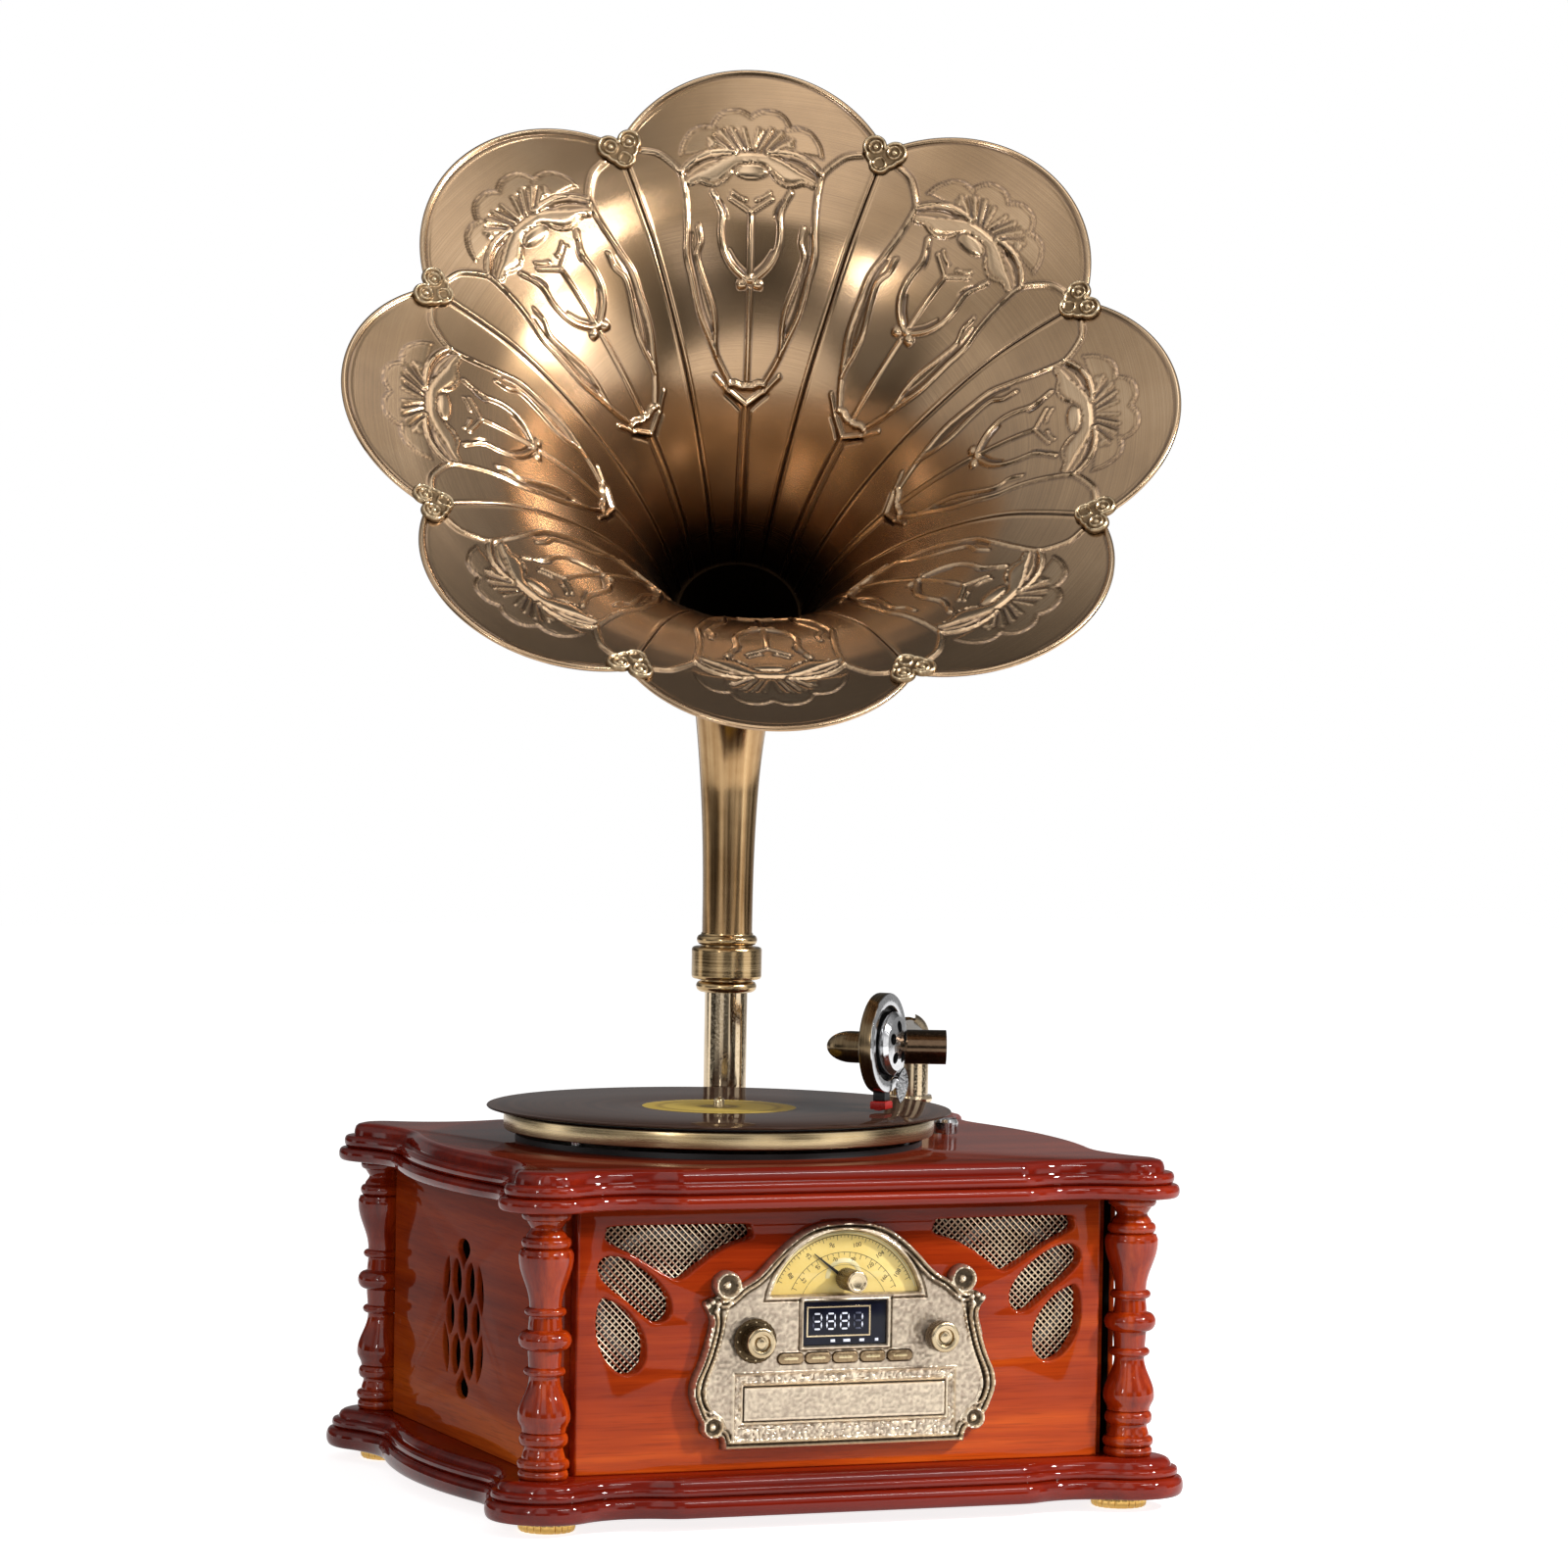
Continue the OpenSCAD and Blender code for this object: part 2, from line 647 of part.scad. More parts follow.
module motor_pulley() {
    color(brass) place() translate([pulley_x, pulley_y, 0]) {
        translate([0, 0, wall_top - 11.8]) cylinder(r = 1.5, h = platter_low + 2 - wall_top + 11.8, $fn = 32);
        translate([0, 0, platter_low + 1]) cylinder(r = pulley_r, h = 6.6, $fn = 48);
    }
}
function belt_outline(r1, r2, d) =
    let (a = acos((r1 - r2) / d)) concat(arc([0, 0], r1, a, 360 - a, 60), arc([d, 0], r2, -a, a, 12));
module drive_belt() {
    color("#26221f") place() translate([table_x, table_y, platter_low + 2.4]) rotate(pulley_angle)
        linear_extrude(3.6) difference() {
            polygon(belt_outline(drive_ring_r + belt_gap + belt_t, pulley_r + belt_gap + belt_t, pulley_distance));
            polygon(belt_outline(drive_ring_r + belt_gap, pulley_r + belt_gap, pulley_distance));
        }
}
module speed_selector() {
    color(steel) place() translate([146, 20, 0]) {
        translate([0, 0, wall_top - 6]) cylinder(r = 3, h = top_h + 8, $fn = 48);
        translate([0, 0, deck_z + 0.4]) rotate_extrude($fn = 48) polygon([
            [0, 0], [8, 0], [8, 7], [6.8, 9], [0, 9.6]
        ]);
        translate([0, -0.9, deck_z + 9]) cube([7, 1.8, 1.2]);
    }
}

module arm_base() {
    color(brass) place() translate([post_x, post_y, 0]) rotate_extrude() polygon([
        [6.05, wall_top + 2], [9.9, wall_top + 2], [9.9, deck_z], [22, deck_z], [22, deck_z + 2], [21, deck_z + 3],
        [15.2, deck_z + 3], [15.2, deck_z + 13], [16.6, deck_z + 13.8], [17.1, deck_z + 15.8],
        [16.4, post_low - 0.4], [6.05, post_low - 0.4]
    ]);
}
// Arm frame: X along the arm from the post's axis, at height z
module along_arm(z) {
    translate([post_x, post_y, z]) rotate([0, 0, arm_heading]) children();
}
module arm_post() {
    dome_z = lift_z - 0.5;
    color(brass) place() difference() {
        translate([post_x, post_y, 0]) rotate_extrude() polygon(concat(
            [[0, wall_top + 4], [6, wall_top + 4], [6, post_low], [post_r, post_low]],
            arc([0, dome_z], post_r, 0, 90, 12)
        ));
        along_arm(lift_z) {
            translate([-9, -4.3, -9]) cube([40, 8.6, 40]);
            rotate([90, 0, 0]) cylinder(r = 2.5, h = 40, center = true);
        }
    }
    color(steel) place() along_arm(lift_z) rotate([90, 0, 0])
        cylinder(r = 2.48, h = 2 * post_r - 2, center = true);
}
module arm_tube() {
    color(brass) place() difference() {
        union() {
            along_arm(lift_z) {
                rotate([90, 0, 0]) cylinder(r = 7, h = 8, center = true);
                translate([0, -4, -4.5]) cube([18, 8, 11]);
            }
            along_arm(arm_z) translate([16.5, 0, 0]) rotate([0, 90, 0])
                cylinder(r = arm_tube_r, h = arm_length - 16.5);
        }
        along_arm(lift_z) rotate([90, 0, 0]) cylinder(r = 2.55, h = 40, center = true);
        along_arm(arm_z) {
            translate([arm_length, 0, 0]) rotate([90, 0, 0]) cylinder(r = cross_r, h = 60, center = true);
            translate([22, 0, 0]) rotate([0, 90, 0]) cylinder(r = arm_tube_r - 1.2, h = arm_length);
        }
    }
}
// Sound box frame: Z out of the pierced face, X down, Y level and away from the front
module at_soundbox() {
    translate([soundbox_x, soundbox_y, soundbox_z]) rotate([0, 0, soundbox_heading]) rotate([0, 90, 0]) children();
}
module soundbox_body(grow) {
    at_soundbox() cylinder(r = soundbox_r + grow, h = soundbox_t + 2 * grow, center = true);
}
module head_tube() {
    color(brass) place() difference() {
        along_arm(arm_z) translate([arm_length, 0, 0]) rotate([-90, 0, 0]) difference() {
            translate([0, 0, -cross_left]) cylinder(r = cross_r, h = cross_left + cross_right);
            translate([0, 0, cross_right - 3]) cylinder(r = cross_r - 2.2, h = 10);
        }
        soundbox_body(0.01);
        at_soundbox() cylinder(r = rosette_r + 0.3, h = 40);
    }
}
module soundbox() {
    color(brass) place() at_soundbox() {
        difference() {
            cylinder(r = soundbox_r, h = soundbox_t, center = true);
            translate([0, 0, soundbox_t / 2 - 4]) cylinder(r = 24, h = 5);
        }
        translate([bullet_drop, 0, -soundbox_t / 2]) rotate([180, 0, 0]) rotate_extrude($fn = 64)
            polygon(concat([[0, -1], [10.3, -1]], [for (a = [0:9:90]) [10.3 * cos(a), 16 + 17 * sin(a)]]));
    }
}
module soundbox_face() {
    color(steel) place() at_soundbox() translate([0, 0, soundbox_t / 2 - 4]) difference() {
        rotate_extrude() polygon([
            [0, 0], [rosette_r, 0], [rosette_r, 7.4], [17.5, 9.8], [10, 11], [0, 11.4]
        ]);
        for (i = [0:4]) rotate(180 + i * 72) translate([11, 0, 4]) cylinder(r = 3.8, h = 10);
    }
}
// Frame under the sound box: X level along its face, Z up from the record
module at_stylus() {
    translate([soundbox_x, soundbox_y, record_top]) rotate([0, 0, soundbox_heading + 90]) children();
}
module cartridge() {
    color(black) place() difference() {
        at_stylus() translate([-4.5, -4, 7]) cube([9, 8, 9]);
        soundbox_body(0.01);
    }
    color("red") place() at_stylus() {
        translate([-6.5, -5.2, 1.6]) cube([13, 10.4, 5.4]);
        translate([-5, -0.5, 0.4]) cube([1, 1, 1.2]);
    }
}
module finger_lift() {
    color("silver") place() at_soundbox() translate([22, 14, soundbox_t / 2]) {
        cylinder(r = 1.9, h = 3.6);
        translate([6, 0, 3.2]) rotate([24, 0, 0]) rotate([0, 0, -8]) linear_extrude(1.4) intersection() {
            translate([0, -11.1]) circle(16);
            translate([0, 11.1]) circle(16);
        }
    }
}

module horn_post() {
    color(brass) place() translate([horn_x, horn_y, deck_z]) rotate_extrude() polygon([
        [post_bore_r, 0], [19.8, 0], [19.8, 2], [19, 3.2], [16.6, 3.2], [16.6, 5.5],
        [15.6, 7], [post_tube_r, 7], [post_tube_r, 340 - deck_z], [post_bore_r, 340 - deck_z]
    ]);
}
module horn_coupling() {
    color(brass) place() translate([horn_x, horn_y, 0]) rotate_extrude() polygon(concat(
        [[post_tube_r + 0.05, coupling_z + 1], [18, coupling_z]],
        bead(coupling_z + 0.4, coupling_z + 7.2, 18, 2.5, 6), [[18.2, coupling_z + 8.4], [23, coupling_z + 9.4],
        [23.8, coupling_z + 10.6], [23.8, coupling_z + 28.8], [23, coupling_z + 30], [18.2, coupling_z + 31]],
        bead(coupling_z + 32, coupling_z + 38.6, 18, 2.5, 6),
        [[17.6, neck_z], [post_bore_r, neck_z], [post_bore_r, 340.4], [post_tube_r + 0.05, 340.4]]
    ));
}

function neck_radius(s) = neck_r0 + (throat_r - neck_r0) * pow(s / neck_run, 2.5);
function neck_bend(s) = s < neck_rise ? 0 : (s - neck_rise) / bend_r * 180 / PI;
function neck_centre(s) =
    s < neck_rise ? [0, 0, neck_z + s]
    : [0, -bend_r * (1 - cos(neck_bend(s))), bend_z + bend_r * sin(neck_bend(s))];
function neck_ring(s, r, n) = [
    for (i = [0:n - 1]) let (a = 360 * i / n, b = neck_bend(s))
        neck_centre(s) + r * [cos(a), sin(a) * cos(b), sin(a) * sin(b)]
];
// Wall of a pipe from a list of outer rings and a list of inner rings, all with n points
module pipe(outer, inner, n) {
    m = len(outer);
    points = [for (ring = concat(outer, inner)) for (p = ring) p];
    function at(k, i) = k * n + i % n;
    faces = concat(
        [for (k = [0:m - 2], i = [0:n - 1]) each [
            [at(k, i), at(k + 1, i), at(k, i + 1)],
            [at(k, i + 1), at(k + 1, i), at(k + 1, i + 1)],
            [at(m + k, i), at(m + k, i + 1), at(m + k + 1, i)],
            [at(m + k, i + 1), at(m + k + 1, i + 1), at(m + k + 1, i)]
        ]],
        [for (i = [0:n - 1]) each [
            [at(0, i), at(0, i + 1), at(m, i)], [at(0, i + 1), at(m, i + 1), at(m, i)],
            [at(m - 1, i), at(2 * m - 1, i), at(m - 1, i + 1)],
            [at(m - 1, i + 1), at(2 * m - 1, i), at(2 * m - 1, i + 1)]
        ]]
    );
    polyhedron(points, faces);
}
module horn_neck() {
    rings = 16;
    sides = 28;
    run = [for (k = [0:rings]) neck_run * k / rings];
    color(brass) place() translate([horn_x, horn_y, 0]) rotate([0, 0, horn_yaw]) pipe(
        [for (s = run) neck_ring(s, neck_radius(s), sides)],
        [for (s = run) neck_ring(s, neck_radius(s) - 1.6, sides)], sides
    );
}

// Bell frame: Z out of the mouth, Y up, from the centre of the rim
module at_mouth() {
    translate([horn_x, horn_y, 0]) rotate([0, 0, horn_yaw])
        translate([0, -mouth_reach, mouth_z]) rotate([bend_angle, 0, 0]) children();
}
// Distance along the sheet from the rim's end, and the bell's radius there
bell_reach = [
    for (k = [0:len(bell_curve) - 1])
        [sum_to_rim(k) - 1.35, bell_curve[k][1]]
];
function sum_to_rim(k) =
    k == len(bell_curve) - 1 ? 0 : norm(bell_curve[k + 1] - bell_curve[k]) + sum_to_rim(k + 1);
// Plan position of a point X to the side of a petal's middle line and Y along the sheet
function on_petal(p) = let (r = lookup(p[1], bell_reach), a = p[0] / r * 180 / PI) r * [cos(a), sin(a)];
function band(p, w) =
    let (n = len(p) - 1, side = [for (i = [0:n]) let (a = p[max(i - 1, 0)], b = p[min(i + 1, n)])
        w / norm(b - a) * [b[1] - a[1], a[0] - b[0]]])
    concat([for (i = [0:n]) p[i] + side[i]], [for (i = [n:-1:0]) p[i] - side[i]]);
function both_halves(p) = concat(p, turned(mirrored(p, -1, 1)));
// Raised flower, leaf lines and stem of a petal
ornament_h = 1.5;
ornament_shapes = [
    both_halves([[0, 42.5], [6, 38.8], [17, 38.8], [25, 48], [34, 48.2], [45, 58], [46, 64]]),
    both_halves([[0, 67.4], [12, 68], [31, 77], [45, 84.4], [34, 84.4], [24, 86.4], [9, 75.8], [0, 73.4]]),
    both_halves([[0, 219.4], [11, 218], [11, 224], [0, 235]]),
    [[-1.6, 107], [1.6, 107], [1.6, 220], [-1.6, 220]],
    [[-1.6, 234], [1.6, 234], [1.6, 350], [-1.6, 350]]
];
ornament_lines = [
    [[66, 60], [60, 63.5], [52, 71], [46.5, 77.6]],
    [[46, 78], [42.8, 100], [42.4, 131], [33, 170], [19, 204], [11, 219]],
    [[26, 92], [19, 108], [19.4, 120], [12.6, 141], [1, 151]]
];
module petal_ornament(front) {
    last = len(front) - 1;
    way = [for (k = [0:last]) let (o = front[max(k - 1, 0)], q = front[min(k + 1, last)])
        [q[1] - o[1], o[0] - q[0]] / norm(q - o)];
    intersection() {
        rotate([0, 0, -petal_step / 2]) rotate_extrude(angle = petal_step, $fn = 192) polygon(concat(
            [for (k = [0:last]) front[k] - ornament_h * way[k]],
            [for (k = [last:-1:0]) front[k] + sheet_t / 2 * way[k]]
        ));
        translate([0, 0, -240]) linear_extrude(280) {
            for (shape = ornament_shapes) polygon([for (p = shape) on_petal(p)]);
            for (line = ornament_lines, s = [-1, 1])
                polygon([for (p = band(line, 1.7)) on_petal([s * p[0], p[1]])]);
        }
    }
}
// One petal: a sector of the bell, trimmed to a round tip
module petal(i) {
    last = len(bell_curve) - 1;
    front = [for (p = bell_curve) [p[1], p[0]]];
    behind = [for (k = [last:-1:0]) let (o = front[max(k - 1, 0)], q = front[min(k + 1, last)])
        front[k] + sheet_t / norm(q - o) * [q[1] - o[1], o[0] - q[0]]];
    color(brass) place() at_mouth() rotate([0, 0, 90 + (i - 1) * petal_step]) {
        difference() {
            rotate([0, 0, -petal_step / 2]) rotate_extrude(angle = petal_step, $fn = 192)
                polygon(concat(front, behind));
            translate([0, 0, -40]) difference() {
                translate([chord_x - 8, -120, 0]) cube([100, 240, 80]);
                translate([scallop_x, 0, -1]) cylinder(r = scallop_r, h = 82, $fn = 192);
            }
        }
        petal_ornament(front);
    }
}
// Scroll clips over the valleys between the petals
module petal_clips() {
    color(brass) place() at_mouth() for (i = [0:petal_count - 1])
        rotate([0, 0, 90 + (i + 0.5) * petal_step]) translate([clip_circle_r - 4, 0, -1.2]) rotate([0, -20, 0]) {
            for (s = [-1, 1]) translate([3.5, s * 7.2, 0]) cylinder(r = 8, h = 3, $fn = 32);
            translate([-6, 0, 0]) cylinder(r = 8, h = 3, $fn = 32);
        }
}
module horn_driver() {
    color(black) place() translate([horn_x, horn_y, 0]) {
        translate([0, 0, deck_z - 15.6]) cylinder(r = 13, h = 12);
        translate([0, 0, deck_z - 3.6]) tube(14.4, 9, 3.2);
        translate([0, 0, deck_z - 3.6]) cylinder(r = 8.5, h = 1.6);
    }
}

base_plate();
top_plate();
front_panel();
left_panel();
right_panel();
back_panel();
corner_blocks();
columns();
feet();
screws();
grilles();
speaker_frames();
speaker_cones();
fascia();
dial_scale();
dial_needle();
tuning_knob();
display_screen();
left_knob();
right_knob();
button(1);  // button_1
button(2);  // button_2
button(3);  // button_3
button(4);  // button_4
button(5);  // button_5
control_board();
cd_drawer();
cd_chassis();
main_board();
rear_jacks();
deck_ring();
platter_bearing();
platter();
platter_mat();
record();
turntable_motor();
motor_pulley();
drive_belt();
speed_selector();
arm_base();
arm_post();
arm_tube();
head_tube();
soundbox();
soundbox_face();
cartridge();
finger_lift();
horn_post();
horn_coupling();
horn_neck();
petal(1);  // petal_1
petal(2);  // petal_2
petal(3);  // petal_3
petal(4);  // petal_4
petal(5);  // petal_5
petal(6);  // petal_6
petal(7);  // petal_7
petal(8);  // petal_8
petal_clips();
horn_driver();
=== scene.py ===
"""Horn gramophone: the detailed pieces, finishes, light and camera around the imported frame.
Points are written in millimetres from the middle of the cabinet's footprint, as in part.scad."""
import bpy
import bmesh
import math
import numpy as np
from mathutils import Matrix, Vector


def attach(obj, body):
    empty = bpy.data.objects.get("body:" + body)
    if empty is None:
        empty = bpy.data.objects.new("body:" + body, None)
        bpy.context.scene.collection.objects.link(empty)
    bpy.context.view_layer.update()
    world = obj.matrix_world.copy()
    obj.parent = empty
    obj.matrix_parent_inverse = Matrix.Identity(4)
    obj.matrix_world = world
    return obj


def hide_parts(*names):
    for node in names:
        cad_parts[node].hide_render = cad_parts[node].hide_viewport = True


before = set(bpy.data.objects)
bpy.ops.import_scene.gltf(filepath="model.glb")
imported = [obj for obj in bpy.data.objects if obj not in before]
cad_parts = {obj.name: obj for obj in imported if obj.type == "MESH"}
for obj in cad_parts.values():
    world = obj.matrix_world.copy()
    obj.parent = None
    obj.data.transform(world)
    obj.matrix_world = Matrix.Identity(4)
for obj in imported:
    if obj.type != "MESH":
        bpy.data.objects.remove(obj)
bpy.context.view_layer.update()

SHIFT = np.array([27.9, 25.8, 0.0])  # from the cabinet's middle to the frame's origin
CORNERS = [(sx, sy) for sx in (-1, 1) for sy in (-1, 1)]


# ---------------------------------------------------------------- points and frames
def T(x, y, z):
    m = np.eye(4)
    m[:3, 3] = (x, y, z)
    return m


def turn(axis, degrees):
    return np.array(Matrix.Rotation(math.radians(degrees), 4, axis))


def move(points, m):
    p = np.asarray(points, float)
    return p @ m[:3, :3].T + m[:3, 3]


FRONT = turn("X", 90)  # local Z points forwards, local Y up


def smooth(points, steps=6, closed=False):
    """A Catmull-Rom curve through the points."""
    p = np.asarray(points, float)
    if closed:
        p = np.vstack([p[-1], p, p[:2]])
    else:
        p = np.vstack([2 * p[0] - p[1], p, 2 * p[-1] - p[-2]])
    u = np.linspace(0, 1, steps, endpoint=False)[:, None]
    out = []
    for a, b, c, d in zip(p[:-3], p[1:-2], p[2:-1], p[3:]):
        out.append(0.5 * (2 * b + (c - a) * u + (2 * a - 5 * b + 4 * c - d) * u ** 2
                          + (3 * b - a - 3 * c + d) * u ** 3))
    out = np.vstack(out)
    return out if closed else np.vstack([out, p[-2]])


def runs_along(points):
    """Distance of every point of a line from its first."""
    return np.concatenate([[0], np.cumsum(np.hypot(*np.diff(points, axis=0).T))])


def arc(c, r, a0, a1, n):
    a = np.radians(np.linspace(a0, a1, n + 1))
    return np.stack([c[0] + r * np.cos(a), c[1] + r * np.sin(a)], 1)


def circle(c, r, n):
    return arc(c, r, 0, 360, n)[:-1]


def rectangle(x0, x1, y0, y1):
    return np.array([[x0, y0], [x1, y0], [x1, y1], [x0, y1]], float)


def bead(h0, h1, r, out, n=12):
    """Profile points of a half-round ring between two heights."""
    a = np.radians(np.linspace(0, 180, n + 1))
    return [(r + out * math.sin(k), (h0 + h1) / 2 - (h1 - h0) / 2 * math.cos(k)) for k in a]


def ease(h0, r0, h1, r1, n=12):
    """Profile points of a smooth change from one radius to another."""
    return [(r0 + (r1 - r0) * (1 - math.cos(math.pi * i / n)) / 2, h0 + (h1 - h0) * i / n)
            for i in range(n + 1)]


# ---------------------------------------------------------------- pieces
def grid_faces(m, n, start=0):
    i, j = np.meshgrid(np.arange(m - 1), np.arange(n - 1), indexing="ij")
    a = (start + i * n + j).ravel()
    return np.stack([a, a + 1, a + n + 1, a + n], 1).tolist()


def uv_grid(across, along):
    """One UV pair for every point of a grid."""
    return np.stack(np.broadcast_arrays(across[None, :], along[:, None]), -1)


def piece(name, points, faces, body, finish, slot, replaced=(), uv=None, sharp=38, relief=None,
          face_finish=None, weld=1e-6):
    """Makes one piece. Points are in millimetres in the cabinet frame."""
    mesh = bpy.data.meshes.new(name)
    p = (np.asarray(points, float) + SHIFT) / 1000
    mesh.from_pydata(p.tolist(), [], [tuple(f) for f in faces])
    if uv is not None:
        corner = np.empty(len(mesh.loops), int)
        mesh.loops.foreach_get("vertex_index", corner)
        layer = mesh.uv_layers.new(name="UVMap")
        layer.data.foreach_set("uv", np.asarray(uv, float)[corner].ravel())
    if relief is not None:
        mesh.attributes.new("relief", "FLOAT", "POINT").data.foreach_set("value", np.asarray(relief, float))
    for f in finish if isinstance(finish, list) else [finish]:
        mesh.materials.append(f)
    if face_finish is not None:
        mesh.polygons.foreach_set("material_index", np.asarray(face_finish, int))
    b = bmesh.new()
    b.from_mesh(mesh)
    if weld:
        bmesh.ops.remove_doubles(b, verts=b.verts, dist=weld)
        bmesh.ops.dissolve_degenerate(b, dist=1e-7, edges=b.edges)
    bmesh.ops.recalc_face_normals(b, faces=b.faces)
    b.to_mesh(mesh)
    b.free()
    mesh.polygons.foreach_set("use_smooth", [True] * len(mesh.polygons))
    mesh.set_sharp_from_angle(angle=math.radians(sharp))
    mesh.update()
    o = bpy.data.objects.new(name, mesh)
    bpy.context.scene.collection.objects.link(o)
    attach(o, body)
    if replaced:
        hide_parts(*replaced)
    return o


def curve_mesh(curve, lift):
    """Points, raised by lift, and faces of an outline or text. The curve itself is removed."""
    o = bpy.data.objects.new("outline", curve)
    bpy.context.scene.collection.objects.link(o)
    bpy.context.view_layer.update()
    mesh = bpy.data.meshes.new_from_object(o.evaluated_get(bpy.context.evaluated_depsgraph_get()))
    p = np.empty(len(mesh.vertices) * 3)
    mesh.vertices.foreach_get("co", p)
    faces = [tuple(f.vertices) for f in mesh.polygons]
    bpy.data.objects.remove(o)
    bpy.data.curves.remove(curve)
    bpy.data.meshes.remove(mesh)
    return p.reshape(-1, 3) + [0, 0, lift], faces


class Parts:
    """Collects several forms into the points and faces of one piece."""
    def __init__(self):
        self.points, self.faces, self.uv, self.finish = [], [], [], []
        self.count = 0

    def add(self, points, faces, uv=None, finish=0):
        points = np.asarray(points, float).reshape(-1, 3)
        self.faces += [tuple(int(k) + self.count for k in f) for f in faces]
        self.finish += [finish] * len(faces)
        self.points.append(points)
        self.uv.append(np.zeros((len(points), 2)) if uv is None else np.asarray(uv).reshape(-1, 2))
        self.count += len(points)
        return self

    def grid(self, p, uv, finish=0, m=np.eye(4)):
        return self.add(move(p.reshape(-1, 3), m), grid_faces(*p.shape[:2]), uv, finish)

    def lathe(self, profile, m=np.eye(4), sides=64, finish=0, radius=None):
        """Turns (radius, height) points round local Z. radius(angles) scales the rings."""
        q = np.asarray(profile, float)
        a = np.linspace(0, 2 * np.pi, sides + 1)
        r = q[:, :1] * (np.ones(sides + 1) if radius is None else radius(a, q))
        p = np.stack([r * np.cos(a), r * np.sin(a), np.repeat(q[:, 1:], sides + 1, 1)], -1)
        return self.grid(p, uv_grid(a * 0.05, runs_along(q) / 1000), finish, m)

    def tube(self, path, radius, sides, finish):
        """A round bar along a path of points, with closed ends."""
        path = np.asarray(path, float)
        tangent = np.gradient(path, axis=0)
        tangent /= np.linalg.norm(tangent, axis=1)[:, None]
        up = np.array([0, 0, 1.0]) if abs(tangent[0][2]) < 0.9 else np.array([1.0, 0, 0])
        side = np.cross(tangent[0], up)
        rings = []
        a = np.linspace(0, 2 * np.pi, sides + 1)
        for p, t in zip(path, tangent):
            side = side - t * (side @ t)
            side /= np.linalg.norm(side)
            other = np.cross(t, side)
            rings.append(p + radius * (np.cos(a)[:, None] * side + np.sin(a)[:, None] * other))
        ends = [np.repeat(path[k][None, None], sides + 1, 1) for k in (0, -1)]
        rings = np.concatenate([ends[0], np.array(rings), ends[1]])
        s = np.linspace(0, np.linalg.norm(np.diff(path, axis=0), axis=1).sum(), len(rings)) / 1000
        return self.grid(rings, uv_grid(a * 0.01, s), finish)

    def plate(self, loops, low, high, m=np.eye(4), bevel=0.8, finish=0, steps=2):
        """A flat plate from outlines in local X and Y, with rounded edges; inner outlines cut it."""
        curve = bpy.data.curves.new("outline", "CURVE")
        curve.dimensions = "2D"
        curve.fill_mode = "BOTH"
        for loop in loops:
            s = curve.splines.new("POLY")
            s.points.add(len(loop) - 1)
            s.points.foreach_set("co", np.hstack([loop, np.zeros((len(loop), 1)),
                                                  np.ones((len(loop), 1))]).ravel())
            s.use_cyclic_u = True
        curve.extrude = (high - low) / 2 - bevel
        curve.bevel_depth = bevel
        curve.offset = -bevel
        curve.bevel_resolution = steps
        p, faces = curve_mesh(curve, (low + high) / 2)
        return self.add(move(p, m), faces, p[:, :2] / 1000, finish)

    def block(self, x0, x1, y0, y1, low, high, m, bevel, finish=0):
        return self.plate([rectangle(x0, x1, y0, y1)], low, high, m, bevel, finish)

    def make(self, name, body, finish, slot, replaced=(), **more):
        return piece(name, np.vstack(self.points), self.faces, body, finish, slot, replaced,
                     uv=np.vstack(self.uv), face_finish=self.finish, **more)


# ---------------------------------------------------------------- finishes
def rgb(r, g, b):
    """Screen colour from 0 to 255 as the shader's linear colour."""
    return tuple(c / 12.92 if c <= 0.04045 else ((c + 0.055) / 1.055) ** 2.4
                 for c in (r / 255, g / 255, b / 255)) + (1.0,)


